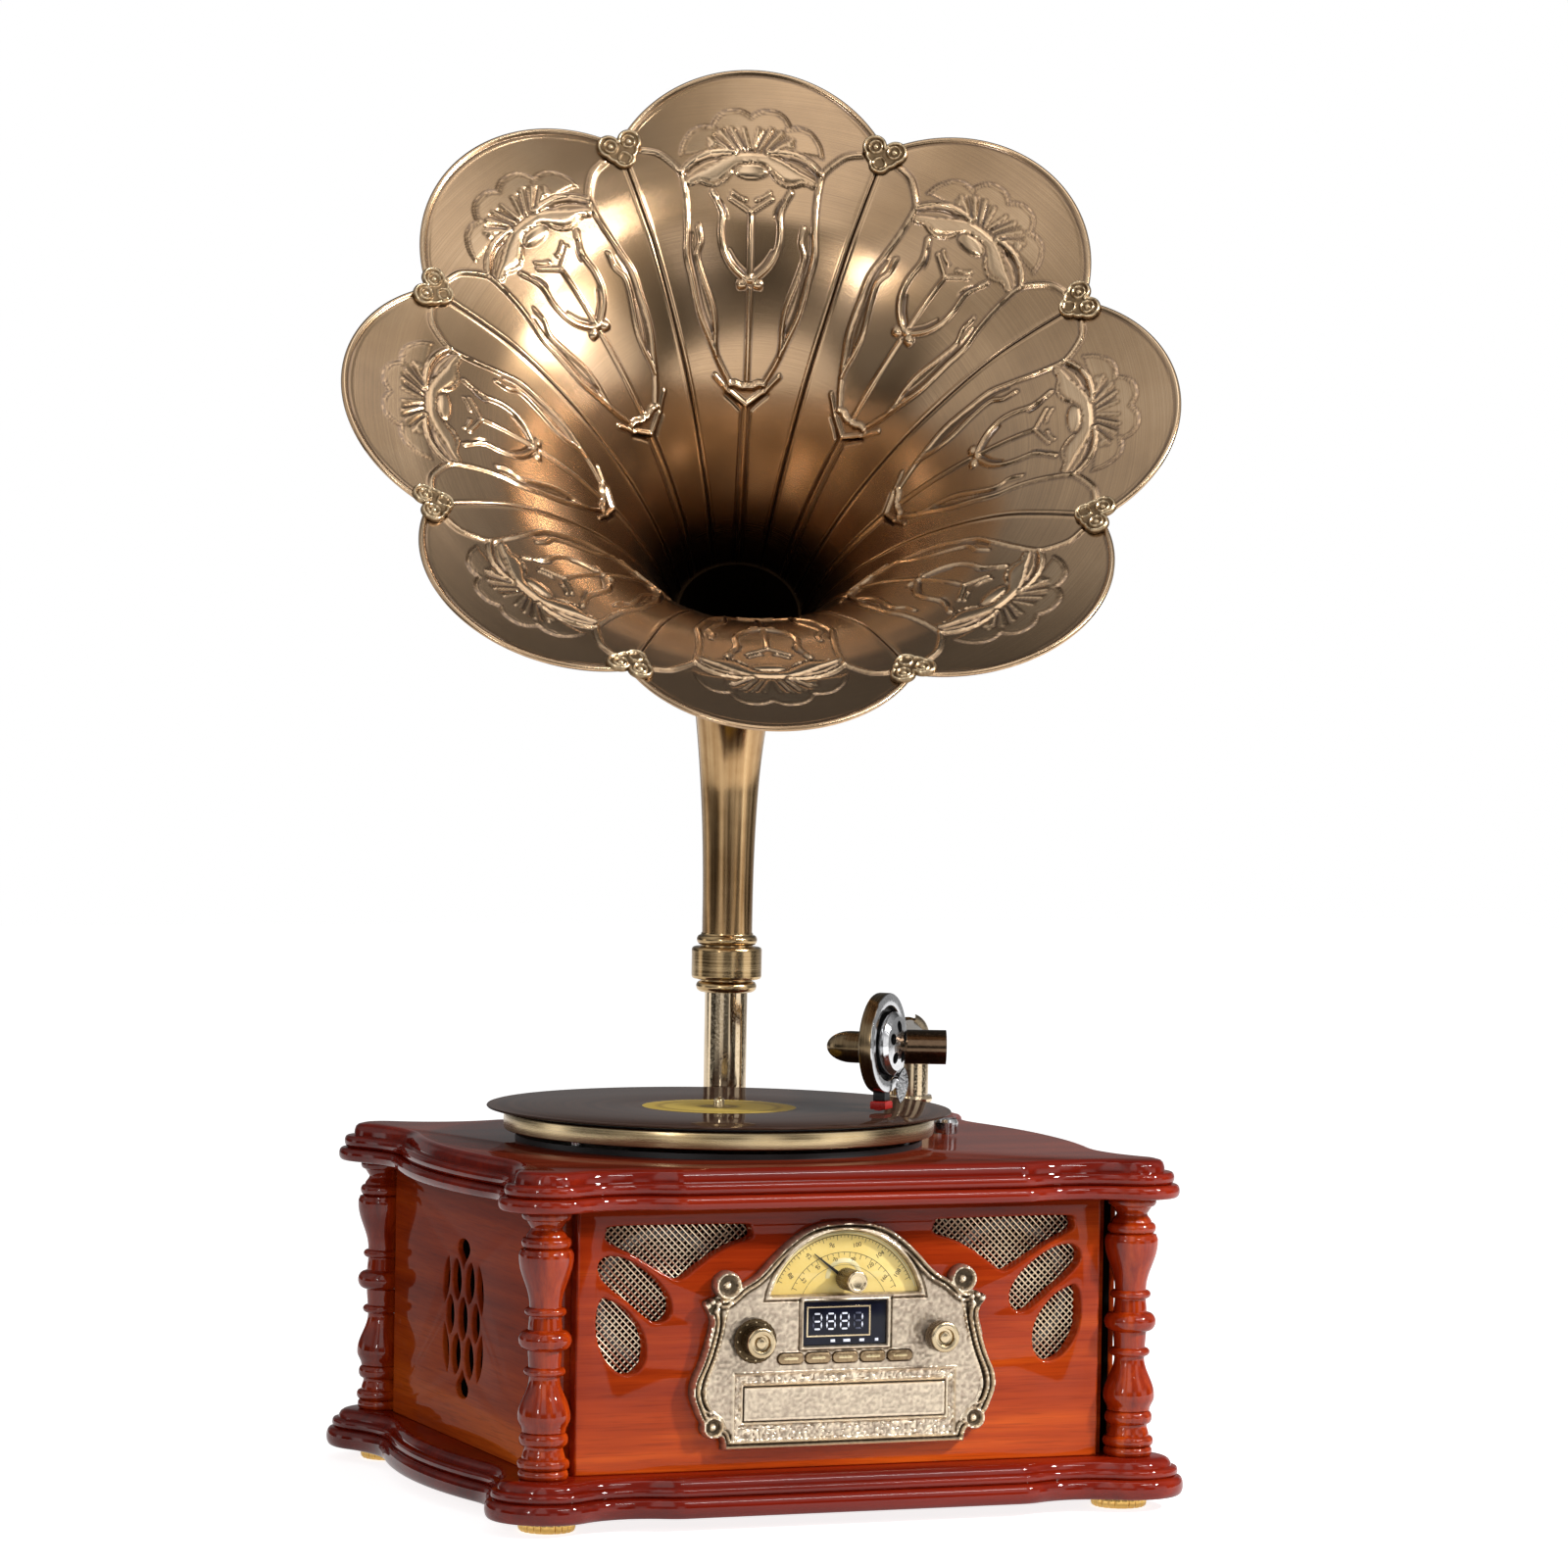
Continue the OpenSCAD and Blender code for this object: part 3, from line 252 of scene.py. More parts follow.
class Finish:
    """A node material built round one Principled shader. In node(), i5 stands for input number 5."""
    def __init__(self, name, **values):
        self.material = bpy.data.materials.new(name)
        self.material.use_nodes = True
        self.tree = self.material.node_tree
        self.shader = self.tree.nodes["Principled BSDF"]
        for key, value in values.items():
            self.put(self.shader.inputs[key.replace("_", " ")], value)

    def put(self, socket, value):
        if isinstance(value, bpy.types.NodeSocket):
            self.tree.links.new(value, socket)
        else:
            socket.default_value = value

    def node(self, kind, output=0, settings=None, **inputs):
        n = self.tree.nodes.new("ShaderNode" + kind)
        for key, value in (settings or {}).items():
            setattr(n, key, value)
        for key, value in inputs.items():
            self.put(n.inputs[int(key[1:]) if key[1:].isdigit() else key.replace("_", " ")], value)
        return n.outputs[output]

    def noise(self, scale, detail=3.0, rough=0.5, uv=False, distortion=0.0):
        """Noise by object position or by UV, of one scale or one for each axis."""
        place = self.node("Mapping", Vector=self.node("UVMap") if uv else self.node("TexCoord", 3),
                          Scale=scale if isinstance(scale, tuple) else (scale,) * 3)
        return self.node("TexNoise", Vector=place, Scale=1.0, Detail=detail, Roughness=rough, Distortion=distortion)

    def math(self, how, a, b):
        return self.node("Math", 0, {"operation": how}, i0=a, i1=b)

    def plus(self, a, b):
        return self.math("ADD", a, b)

    def times(self, a, b):
        return self.math("MULTIPLY", a, b)

    def span(self, value, start, end, low, high):
        return self.node("MapRange", Value=value, From_Min=start, From_Max=end, To_Min=low, To_Max=high)

    def ramp(self, value, *stops):
        n = self.tree.nodes.new("ShaderNodeValToRGB")
        self.tree.links.new(value, n.inputs[0])
        e = n.color_ramp.elements
        while len(e) < len(stops):
            e.new(0.5)
        for k, (at, colour) in enumerate(stops):
            e[k].position = at
            e[k].color = colour if isinstance(colour, tuple) else (colour, colour, colour, 1.0)
        return n.outputs[0]

    def mix(self, factor, a, b, how="MIX"):
        return self.node("Mix", 2, {"data_type": "RGBA", "blend_type": how}, i0=factor, i6=a, i7=b)

    def bump(self, height, strength, distance):
        self.put(self.shader.inputs["Normal"],
                 self.node("Bump", Height=height, Strength=strength, Distance=distance))

    def colour(self, value):
        self.put(self.shader.inputs["Base Color"], value)

    def rough(self, value):
        self.put(self.shader.inputs["Roughness"], value)


def wood(name, along, dark, mid, light, rough=0.3, gloss=0.5, pores=0.6, glow=0.0):
    """Lacquered cherry wood with its grain along one axis. Glow paints light and shade into its colour:
    bounced light lightens it towards the cabinet's foot, and the top moulding's shadow darkens it under the top."""
    dark, mid, light = rgb(*dark), rgb(*mid), rgb(*light)
    f = Finish(name, Coat_Weight=gloss, Coat_Roughness=0.04, Coat_IOR=1.5, Specular_IOR_Level=0.0,
               Coat_Tint=rgb(240, 206, 186))
    stretch = lambda fine, long: tuple(long if k == along else fine for k in range(3))
    figure = f.noise(stretch(34, 2.6), 3, 0.5, distortion=0.5)
    streak = f.noise(stretch(240, 7), 3, 0.6)
    pore = f.noise(stretch(900, 34), 2, 0.5)
    tone = f.plus(f.times(figure, 0.7), f.times(streak, 0.3))
    base = f.ramp(tone, (0.34, dark), (0.5, mid), (0.66, light))
    if glow:
        # painted light and shadow: lighter and warmer towards the foot for bounced light, darker under the top for
        # the top moulding's shadow
        z = f.node("SeparateXYZ", 2, i0=f.node("TexCoord", 3))
        foot = f.ramp(z, (0.034, 1.0), (0.046, 0.8), (0.07, 0.42), (0.1, 0.22), (0.14, 0.1), (0.17, 0.0))
        base = f.mix(f.times(foot, glow), base, (2.0, 3.1, 2.3, 1.0), "MULTIPLY")
        base = f.mix(glow, base, f.ramp(z, (0.17, 1.0), (0.197, 0.6)), "MULTIPLY")
    lines = f.ramp(pore, (0.34, 0.7), (0.45, 1.0))
    f.colour(f.mix(pores, base, lines, "MULTIPLY"))
    f.rough(f.span(streak, 0.3, 0.7, rough - 0.06, rough + 0.08))
    f.bump(pore, 0.12, 0.0003)
    return f.material


def metal(name, colour, dark, rough, brush=None, uv=True, strength=0.12):
    """Metal with a slightly uneven tarnish and, where brush is given, brushed lines."""
    f = Finish(name, Metallic=1.0)
    tarnish = f.noise(14.0, 5, 0.6)
    fine = f.noise(brush or 700.0, 2, 0.5, uv and brush is not None)
    tone = f.plus(f.times(tarnish, 0.6), f.times(fine, 0.4))
    f.colour(f.mix(f.ramp(tone, (0.38, 0.0), (0.62, 1.0)), rgb(*dark), rgb(*colour)))
    f.rough(f.span(fine, 0.25, 0.75, rough - 0.07, rough + 0.1))
    f.bump(fine, strength, 0.0002)
    return f.material


def plastic(name, colour, rough, grain=900.0, **values):
    """Matt or satin plastic, card or cloth with a fine speckle."""
    colour = rgb(*colour)
    f = Finish(name, **values)
    speck = f.noise(grain, 2, 0.5)
    cloud = f.noise(25.0, 3, 0.5)
    darker = tuple(c * 0.72 for c in colour[:3]) + (1.0,)
    f.colour(f.mix(f.ramp(cloud, (0.3, 0.0), (0.7, 1.0)), darker, colour))
    f.rough(f.span(speck, 0.3, 0.7, rough - 0.05, rough + 0.08))
    f.bump(speck, 0.1, 0.0002)
    return f.material


def patina_brass(name, dark, low, body, high, rough, brush, turned=0.0, metallic=1.0, lacquer=0.0):
    """Antique brass: dark in the hollows of the relief and rubbed bright on its crests. On the horn's petals the
    relief tone also holds painted shade.
    """
    dark, low, body, high = rgb(*dark), rgb(*low), rgb(*body), rgb(*high)
    f = Finish(name, Metallic=metallic, Coat_Weight=lacquer, Coat_Roughness=0.2, Coat_IOR=1.9)
    if turned:
        f.put(f.shader.inputs["Anisotropic"], turned)
        f.put(f.shader.inputs["Tangent"], f.node("Tangent", 0, {"direction_type": "UV_MAP", "uv_map": "UVMap"}))
    streak = f.noise(brush, 3, 0.6, True)
    rubbed = f.node("Attribute", 2, {"attribute_name": "relief"})
    for pattern, weight in ((streak, 0.34), (f.noise(11.0, 4, 0.6), 0.3)):
        rubbed = f.plus(rubbed, f.times(f.math("SUBTRACT", pattern, 0.5), weight))
    f.colour(f.ramp(rubbed, (0.0, dark), (0.3, low), (0.52, body), (0.95, high)))
    f.rough(f.span(rubbed, 0.0, 0.9, rough + 0.18, rough - 0.06))
    f.bump(streak, 0.1, 0.0002)
    return f.material


# glow paints bounced light and the top moulding's shadow into the boards' and the columns' colour
RED_FRONT = wood("red_wood_x", 0, (128, 36, 10), (156, 50, 14), (184, 70, 20), gloss=0.3, glow=0.9)
RED_SIDE = wood("red_wood_y", 1, (122, 36, 11), (150, 51, 15), (174, 68, 20), gloss=0.1, glow=0.7)
DARK_X = wood("dark_wood_x", 0, (104, 22, 9), (130, 31, 12), (152, 44, 16), 0.26, 0.6, 0.25)
DARK_Z = wood("dark_wood_z", 2, (102, 22, 4), (148, 44, 8), (198, 78, 16), 0.26, 0.7, 0.3, 0.4)
DECK_TOP = wood("deck_wood", 0, (92, 34, 20), (114, 44, 26), (134, 56, 34), 0.3, 0.32, 0.3)
HORN = patina_brass("horn_brass", (50, 33, 17), (110, 80, 47), (168, 134, 94), (234, 208, 172), 0.18,
                    (3.0, 2200.0, 1.0), turned=0.45, lacquer=0.62)
NECK = metal("neck_brass", (186, 154, 112), (128, 96, 60), 0.2, (260.0, 3.0, 1.0), strength=0.05)
TURNED = metal("turned_brass", (200, 174, 132), (146, 118, 80), 0.18, (3.0, 1600.0, 1.0), strength=0.06)
# near-black brass for the neck's lip and inner wall: painted shade deep in the throat
THROAT_SHADE = metal("throat_brass_painted_shade", (40, 28, 16), (22, 16, 9), 0.5, 500.0)
POLISHED = metal("polished_brass", (214, 176, 104), (170, 132, 66), 0.16, (3.0, 1200.0, 1.0))
NICKEL = metal("dark_nickel", (150, 130, 100), (98, 80, 58), 0.2, (4.0, 1200.0, 1.0), strength=0.04)
CHROME = metal("chrome_bright", (214, 214, 214), (178, 178, 180), 0.12)
STEEL = metal("steel_plain", (150, 152, 155), (110, 112, 116), 0.35)
POST = metal("arm_nickel", (214, 194, 164), (190, 168, 136), 0.09, 600.0, uv=False, strength=0.002)
TUBE = metal("tube_nickel", (104, 84, 66), (76, 60, 46), 0.16, 600.0, uv=False, strength=0.01)
SATIN = metal("satin_brass", (214, 192, 152), (176, 152, 112), 0.26, (2.0, 2400.0, 1.0), strength=0.05)
BLACK = plastic("black_satin", (20, 20, 21), 0.38)
RUBBER = plastic("mat_black", (24, 24, 25), 0.6)
CONE = plastic("cone_grey", (38, 36, 33), 0.8, 400)
BOARD = plastic("board_green_mask", (34, 84, 48), 0.45)
CLOTH = plastic("speaker_cloth_black", (16, 13, 12), 0.9, 500, Specular_IOR_Level=0.0)
RED = plastic("stylus_red_gloss", (196, 26, 18), 0.3)

# Solids that are shown as they come from the frame.
for finish, names in (
        (RED_FRONT, "corner_blocks back_panel"), (POLISHED, "platter_bearing motor_pulley"),
        (CHROME, "screws speed_selector soundbox_face finger_lift"), (TUBE, "head_tube"),
        (POST, "arm_base arm_post arm_tube"), (BLACK, "speaker_frames rear_jacks deck_ring horn_driver"),
        (RUBBER, "platter_mat drive_belt"), (CONE, "speaker_cones"), (BOARD, "control_board main_board"),
        (STEEL, "cd_chassis turntable_motor")):
    for name in names.split():
        for cad_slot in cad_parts[name].material_slots:
            cad_slot.link = "OBJECT"
            cad_slot.material = finish

# ---------------------------------------------------------------- cabinet
COL_X, COL_Y = 197.5, 162.4
BASE_TOP, WALL_TOP, DECK = 33.0, 198.4, 222.8


def meet(a, ra, b, rb):
    """The right-hand crossing of two circles, seen from a towards b."""
    a, b = np.array(a, float), np.array(b, float)
    d = np.linalg.norm(b - a)
    u = (b - a) / d
    x = (d * d + ra * ra - rb * rb) / (2 * d)
    return a + x * u + math.sqrt(ra * ra - x * x) * np.array([u[1], -u[0]])


def heading(a, b):
    return math.degrees(math.atan2(b[1] - a[1], b[0] - a[0]))


def plan(d):
    """The serpentine plan with every edge moved outwards by d. A quarter of it runs along the swelling
    side, the hollow side_dip, the ear round the column and the hollow front_dip to the front's shoulder."""
    ear_r, side_r, side_dip_r, front_dip_r, front_r = 30.2, 400, 80, 60, 30
    side = (COL_X + ear_r - 4 - side_r, 0.0)
    ear, front = (COL_X, COL_Y), (112.0, COL_Y + ear_r - 5.6 - front_r)
    side_dip = meet(side, side_r + side_dip_r, ear, ear_r + side_dip_r)
    front_dip = meet(ear, ear_r + front_dip_r, front, front_r + front_dip_r)
    q = np.vstack([
        arc(side, side_r + d, 0, heading(side, side_dip), 24)[:-1],
        arc(side_dip, side_dip_r - d, heading(side_dip, side) % 360, heading(side_dip, ear) % 360, 14)[:-1],
        arc(ear, ear_r + d, heading(ear, side_dip), heading(ear, front_dip), 40)[:-1],
        arc(front_dip, front_dip_r - d, heading(front_dip, ear) % 360, heading(front_dip, front) % 360, 14)[:-1],
        arc(front, front_r + d, heading(front, front_dip), 90, 8)])
    top = np.vstack([q, [[0.0, front[1] + front_r + d]], q[::-1] * [-1, 1]])
    return np.vstack([top[:-1], (top[::-1] * [1, -1])[:-1]])


def moulding(name, profile, top, node):
    """A plate lofted through plan outlines: profile is a list of (height, outwards). Its upper face,
    where top is set, has the deck's finish."""
    rings = np.array([np.hstack([plan(d), np.full((len(plan(d)), 1), z)]) for z, d in profile])
    rings = np.concatenate([rings, rings[:, :1]], 1)
    m, n = rings.shape[:2]
    faces = grid_faces(m, n) + [tuple(range(n - 1)), tuple(range((m - 1) * n, m * n - 1))]
    kinds = [0] * (len(faces) - 1) + [1 if top else 0]
    piece(name, rings.reshape(-1, 3), faces, "cabinet", [DARK_X, DECK_TOP], "dark_wood", (node,),
          face_finish=kinds, sharp=32)


def rounded(z0, z1, d, r):
    """The outside edge of a tier, from its lower corner round to its upper one."""
    h = (z1 - z0) / 2
    return [(z0 + h - h * math.cos(a), d - r * (1 - math.sin(a) ** 0.8)) for a in np.linspace(0, math.pi, 15)]


base_profile = ([(8.6, -14)] + rounded(8.6, 20.6, 5.7, 3.6)
                + [(21.0, 1.2)] + rounded(21.2, 26.8, 2.0, 2.0)
                + [(27.2, -1.0), (27.5, -2.2), (29.4, -2.6), (31.2, -3.9), (32.4, -6.0), (BASE_TOP, -9.0)])
moulding("base_moulding", base_profile, False, "base_plate")
top_profile = ([(WALL_TOP, -14)] + rounded(WALL_TOP, 206.6, 0, 2.8)
               + [(207.0, -4.2)] + rounded(207.2, 214.6, -3.6, 2.6)
               + [(215.0, -8.4), (215.2, -9.8), (218, -10.1), (220.6, -11), (222, -12.6), (DECK, -16)])
moulding("top_moulding", top_profile, True, "top_plate")

column = ([(0, 0)] + bead(0, 6, 13.6, 2) + bead(6.2, 12.6, 14, 2.3) + ease(13, 13.4, 19.4, 12, 6)
          + bead(20.4, 28.6, 12.6, 2.6) + ease(29.2, 13.6, 37.5, 16.4, 8) + ease(38.5, 16.4, 62.6, 9.6, 16)
          + bead(63.6, 69, 10, 3) + ease(69.6, 10, 79, 10.6, 4) + bead(79.6, 91.6, 11.5, 5, 16)
          + ease(92.2, 10.6, 100, 10, 4) + bead(100.4, 105.8, 10, 3) + ease(106.4, 10, 136.2, 17, 18)
          + ease(138, 17, 141.2, 16, 4) + bead(142.2, 148.8, 13.2, 2.3) + ease(149.4, 12.6, 154.6, 9.8, 6)
          + bead(159.2, 165.4, 12.8, 2.7) + [(0, 165.4)])
foot = [(0, 0), (14, 0), (16.2, 0.4), (17.2, 1.4), (17.6, 3), (17.6, 6.2), (17.0, 7.6), (15.6, 8.4), (13, 8.6),
        (0, 8.6)]
FOOT_X, FOOT_Y = 193.4, 159.1


def foot_ribs(a, q):
    """22 ribs round the part of the foot that is wider than 15 mm."""
    return 1 + 0.07 * (np.abs(np.cos(11 * a))[None, :] - 0.75) * (q[:, :1] > 15)


columns, feet = Parts(), Parts()
for sx, sy in CORNERS:
    columns.lathe(column, T(sx * COL_X, sy * COL_Y, BASE_TOP), 72)
    feet.lathe(foot, T(sx * FOOT_X, sy * FOOT_Y, 0), 208, radius=foot_ribs)
columns.make("turned_columns", "cabinet", DARK_Z, "dark_wood", ("columns",))
feet.make("ribbed_feet", "cabinet", POLISHED, "bright_brass", ("feet",), sharp=50)

WALL_X, WALL_Y = COL_X - 21, COL_Y - 21
KNOB_X, KNOB_Z = 61.8, 114.5
# The cuts over the right loudspeaker, from the panel outwards.
GRILLE = [
    [(60.6, 180), (62.5, 185), (66, 186.5), (100, 187), (152, 187), (157.5, 184), (158, 179), (152, 175),
     (140, 169), (128, 162), (113, 153.6), (107, 153.6), (98, 160), (86, 168), (74, 174), (64, 177)],
    [(154, 168.6), (158.5, 168), (162, 165), (163, 160), (160, 154), (152, 146.5), (143.7, 140.5),
     (135, 133), (127, 127.5), (120.9, 126.6), (116, 129.5), (114.2, 135), (115, 141), (120, 149),
     (127, 156), (137, 163), (146, 167.3)],
    [(159.8, 142.5), (155, 141.5), (147, 137.5), (139, 130), (133, 121), (130.6, 112), (131.5, 102.5),
     (136, 96.4), (142.9, 94.6), (150.5, 97.5), (157, 104.5), (161.8, 114), (163.8, 125), (163, 136)]]
cuts = [smooth(g, 5, True) for g in GRILLE]
cuts += [c * [-1, 1] for c in cuts]
cuts += [rectangle(-46, 46, 98, 156), rectangle(-69, 69, 61.5, 88)]  # behind the dial and display, and the drawer
cuts += [circle((s * KNOB_X, KNOB_Z), 9, 32) for s in (-1, 1)]
Parts().plate([rectangle(-WALL_X, WALL_X, BASE_TOP, WALL_TOP)] + cuts, 149, 161, FRONT, 1.6, steps=4).make(
    "front_board", "cabinet", RED_FRONT, "red_wood", ("front_panel",), sharp=60)


def leaf_cut(y, z, length, width, lean):
    """A pointed leaf standing at (y, z), leaning by the given angle."""
    r = (length ** 2 / 4 + width ** 2 / 4) / width
    half = math.degrees(math.asin(length / 2 / r))
    p = np.vstack([arc((width / 2 - r, 0), r, -half, half, 10)[:-1],
                   arc((r - width / 2, 0), r, 180 - half, 180 + half, 10)[:-1]])
    c, s = math.cos(math.radians(lean)), math.sin(math.radians(lean))
    return p @ np.array([[c, s], [-s, c]]) + [y, z]


CUTS_Z, SIDE_FACE = 112, 196
side_loops = [rectangle(-WALL_Y, WALL_Y, BASE_TOP, WALL_TOP), leaf_cut(0, CUTS_Z, 28, 18, 0)]
for s in (-1, 1):
    drop = np.vstack([arc((0, 0), 6, -30, 210, 24) * [2, 1], [[-4, -8], [0, -13], [4, -8]]])
    side_loops += [drop * [1, s] + [0, CUTS_Z + s * 45], leaf_cut(s * 25.5, CUTS_Z, 26, 16, 0)]
    for side in (-1, 1):
        side_loops += [leaf_cut(side * 13, CUTS_Z + s * 24, 27, 18, -side * s * 8),
                       leaf_cut(side * 33.5, CUTS_Z + s * 22, 32, 12, side * s * 14)]
cloth = Parts()
for side, name in ((-1, "left"), (1, "right")):
    side_frame = T(side * SIDE_FACE, 0, 0) @ np.array([[0, 0, side, 0], [1, 0, 0, 0], [0, 1, 0, 0], [0, 0, 0, 1.0]])
    board = Parts().plate(side_loops, -4, 0, side_frame, 0.9, steps=3)
    # behind the outer 4 mm of wood the board is black, so the walls of the cuts look dark
    board.plate(side_loops, -12, -3.9, side_frame, 0.1, 1, 1)
    board.make(name + "_board", "cabinet", [RED_SIDE, CLOTH], "red_wood", (name + "_panel",), sharp=60)
    cloth.block(-48, 48, 58, 166, -13.2, -12.2, side_frame, 0.2)
cloth.make("side_cloth", "cabinet", CLOTH, "cone_paper")

# ---------------------------------------------------------------- horn
POST_FRAME = T(41.4, 157.0, 0)
YAW, RISE, BEND_R = -17.3, 36.8, 150.0  # the mouth's turn and rise in degrees, and the neck's bend radius
BEND = 90 - RISE
BELL = 225.8  # length of the bell, from the throat to the plane of the clips
MOUTH_Z = 700
REACH = BEND_R * (1 - math.cos(math.radians(BEND))) + BELL * math.cos(math.radians(RISE))
BEND_Z = MOUTH_Z - BEND_R * math.sin(math.radians(BEND)) - BELL * math.sin(math.radians(RISE))
NECK_Z, NECK_R, THROAT_R = 348.0, 17.0, 41.5
RUN = BEND_Z - NECK_Z + BEND_R * math.radians(BEND)  # length of the neck along its middle line
NECK_FRAME = POST_FRAME @ turn("Z", YAW)
MOUTH = NECK_FRAME @ T(0, -REACH, MOUTH_Z) @ turn("X", BEND)
SHEET = 1.2  # thickness
# Depth behind the clips' plane and radius, from the throat to past the petals' tips.
CURVE = [(-229, 41.6), (-225.8, 41.7), (-205, 47.4), (-175, 57.8), (-140, 74.6), (-110, 93), (-85, 111.4),
         (-64, 130.2), (-44, 150.8), (-28, 171), (-16, 192.4), (-9, 207.2), (-3.5, 220), (3, 236.9),
         (10, 254.6), (18.5, 276)]
# The edge of a petal is an arc through its tip and its two clips.
CLIP_R, TIP_R, HALF_PETAL = 229.1, 265.9, math.radians(22.5)
CHORD_HALF = CLIP_R * math.sin(HALF_PETAL)
SAGITTA = TIP_R - CLIP_R * math.cos(HALF_PETAL)
SCALLOP_R = (CHORD_HALF ** 2 + SAGITTA ** 2) / (2 * SAGITTA)
SCALLOP_X = TIP_R - SCALLOP_R

# Ornament of a petal, right half: x from its middle line, y along the sheet from the rim inwards.
# Ridges and grooves are (height, half width, points), shapes are (height, edge, outline).
RIDGES = [
    (0.6, 1.2, [(0, 42.5), (2, 41), (6, 38.8), (11, 38), (17, 38.8), (22, 42), (25, 47)]),
    (0.6, 1.2, [(24, 49.5), (28, 48.4), (34, 48.2), (40, 51), (45, 58), (46.5, 65)]),
    (0.9, 1.2, [(20.5, 52), (9.5, 64.8)]), (0.9, 1.2, [(13, 50.5), (5.2, 64.8)]),
    (0.9, 1.2, [(5, 50.8), (1.4, 64.8)]), (0.9, 1.4, [(27.5, 57), (21, 61), (15, 65)]),
    (1.7, 2.1, [(46.5, 77.6), (43, 73.6), (38, 70), (31, 67), (24, 66), (17, 66), (11, 66.6)]),
    (1.8, 1.6, [(46.5, 77.6), (52, 71), (60, 63.5), (66, 60), (74, 57.4)]),
    (1.3, 1.0, [(13, 79.6), (17, 84.6), (23.6, 87.6), (29, 86.8), (34, 84.8), (41, 86)]),
    (1.3, 1.1, [(12.4, 93.6), (8, 97), (3.6, 98.6)]), (1.4, 1.4, [(13.6, 97.4), (7, 102), (0, 106.8)]),
    (1.3, 1.6, [(0, 107), (0, 150)]),
    (1.6, 1.8, [(26, 92), (21.6, 100), (19, 108), (19.4, 120), (17.6, 131), (12.6, 141), (5.4, 148.4), (1, 151)]),
    (1.5, 1.7, [(46.5, 77.6), (44.8, 85), (42.8, 100), (42.2, 117), (42.4, 131), (38.3, 148), (33, 170),
                (25.6, 188), (19, 204), (11.6, 218.6)]),
    (1.4, 1.6, [(34.6, 114), (33, 124), (35.4, 133), (31, 148), (24.6, 166), (22.2, 180), (22, 192), (21, 200)]),
    (1.2, 1.7, [(0, 156), (0, 219)]), (2.3, 2.5, [(0, 222), (4, 222), (8, 220), (11.6, 220.4)]),
    (1.7, 2.0, [(11.4, 224.6), (6, 229.6), (0, 234.6)]), (1.2, 1.5, [(21.4, 213), (16, 219.6), (11.4, 226)]),
    (1.0, 1.7, [(0, 235), (0, 360)]),
]
GROOVES = [
    (0.9, 1.0, [(24, 54.4), (12.6, 64.6)]), (0.9, 1.0, [(16.6, 50.8), (7.6, 64.6)]),
    (0.9, 1.0, [(9.6, 51.4), (3.4, 64.6)]), (0.9, 1.4, [(43, 78.6), (37, 74.6), (30, 71.4), (21, 69.8)]),
    (1.0, 1.3, [(22, 97.6), (17.8, 103), (15.8, 109)]), (1.0, 1.2, [(14, 131.6), (9, 140), (3, 146.4)]),
    (0.7, 1.3, [(39.4, 118), (39, 131), (35, 147), (29.6, 168), (23.6, 184)]),
    (0.6, 1.0, [(3.3, 238), (3.3, 360)]), (0.8, 1.4, [(14, 227), (8, 233), (3.6, 238)]),
]
SHAPES = [
    (0.6, 2.5, RIDGES[0][2] + RIDGES[1][2][1:] + [(30, 65), (0, 65)]),
    (1.3, 4.6, [(0, 67.4), (12, 68), (21, 71.6), (31, 77), (42, 81.6), (45.6, 84.6), (41.6, 86.4), (34.4, 84.2),
                (26.7, 86.6), (21, 85.4), (14, 79.8), (9, 75.8), (0, 73.4)]),
]
# Domes are (height, x, y, half width, half length).
DOMES = [(1.7, 0, 79.4, 10.8, 5.2), (1.2, 25.4, 60.6, 3.2, 2.6), (1.9, 5.2, 153.9, 3.6, 3.4), (1.6, 0, 151, 3.2, 3.0)]


def away(x, y, points):
    """Distance of every point from a line through the given points."""
    best = np.full(x.shape, 1e9)
    for (ax, ay), (bx, by) in zip(points[:-1], points[1:]):
        ux, uy = bx - ax, by - ay
        t = np.clip(((x - ax) * ux + (y - ay) * uy) / (ux * ux + uy * uy + 1e-12), 0, 1)
        best = np.minimum(best, np.hypot(x - ax - t * ux, y - ay - t * uy))
    return best


def within(x, y, points):
    """Distance inside a closed outline; negative outside it."""
    p = np.asarray(points, float)
    closed = np.vstack([p, p[:1]])
    inside = np.zeros(x.shape, bool)
    for (ax, ay), (bx, by) in zip(closed[:-1], closed[1:]):
        if ay != by:
            inside ^= ((ay > y) != (by > y)) & (x < (bx - ax) * (y - ay) / (by - ay) + ax)
    d = away(x, y, closed)
    return np.where(inside, d, -d)


def cosine(d, w):
    """Falls smoothly from 1 at d = 0 to 0 at d = w."""
    return 0.5 + 0.5 * np.cos(np.pi * np.clip(d / w, 0, 1))


def dome(q):
    """Height of a unit dome, where q is the squared distance from its middle."""
    return np.sqrt(np.clip(1 - q, 0, 1))


def shoulder(d, w):
    """Rises as a quarter of a circle from 0 at d = 0 to 1 at d = w."""
    return np.sqrt(1 - (1 - np.clip(d / w, 0, 1)) ** 2)


def stroke(points):
    return smooth(points, 4) if len(points) > 2 else np.array(points, float)


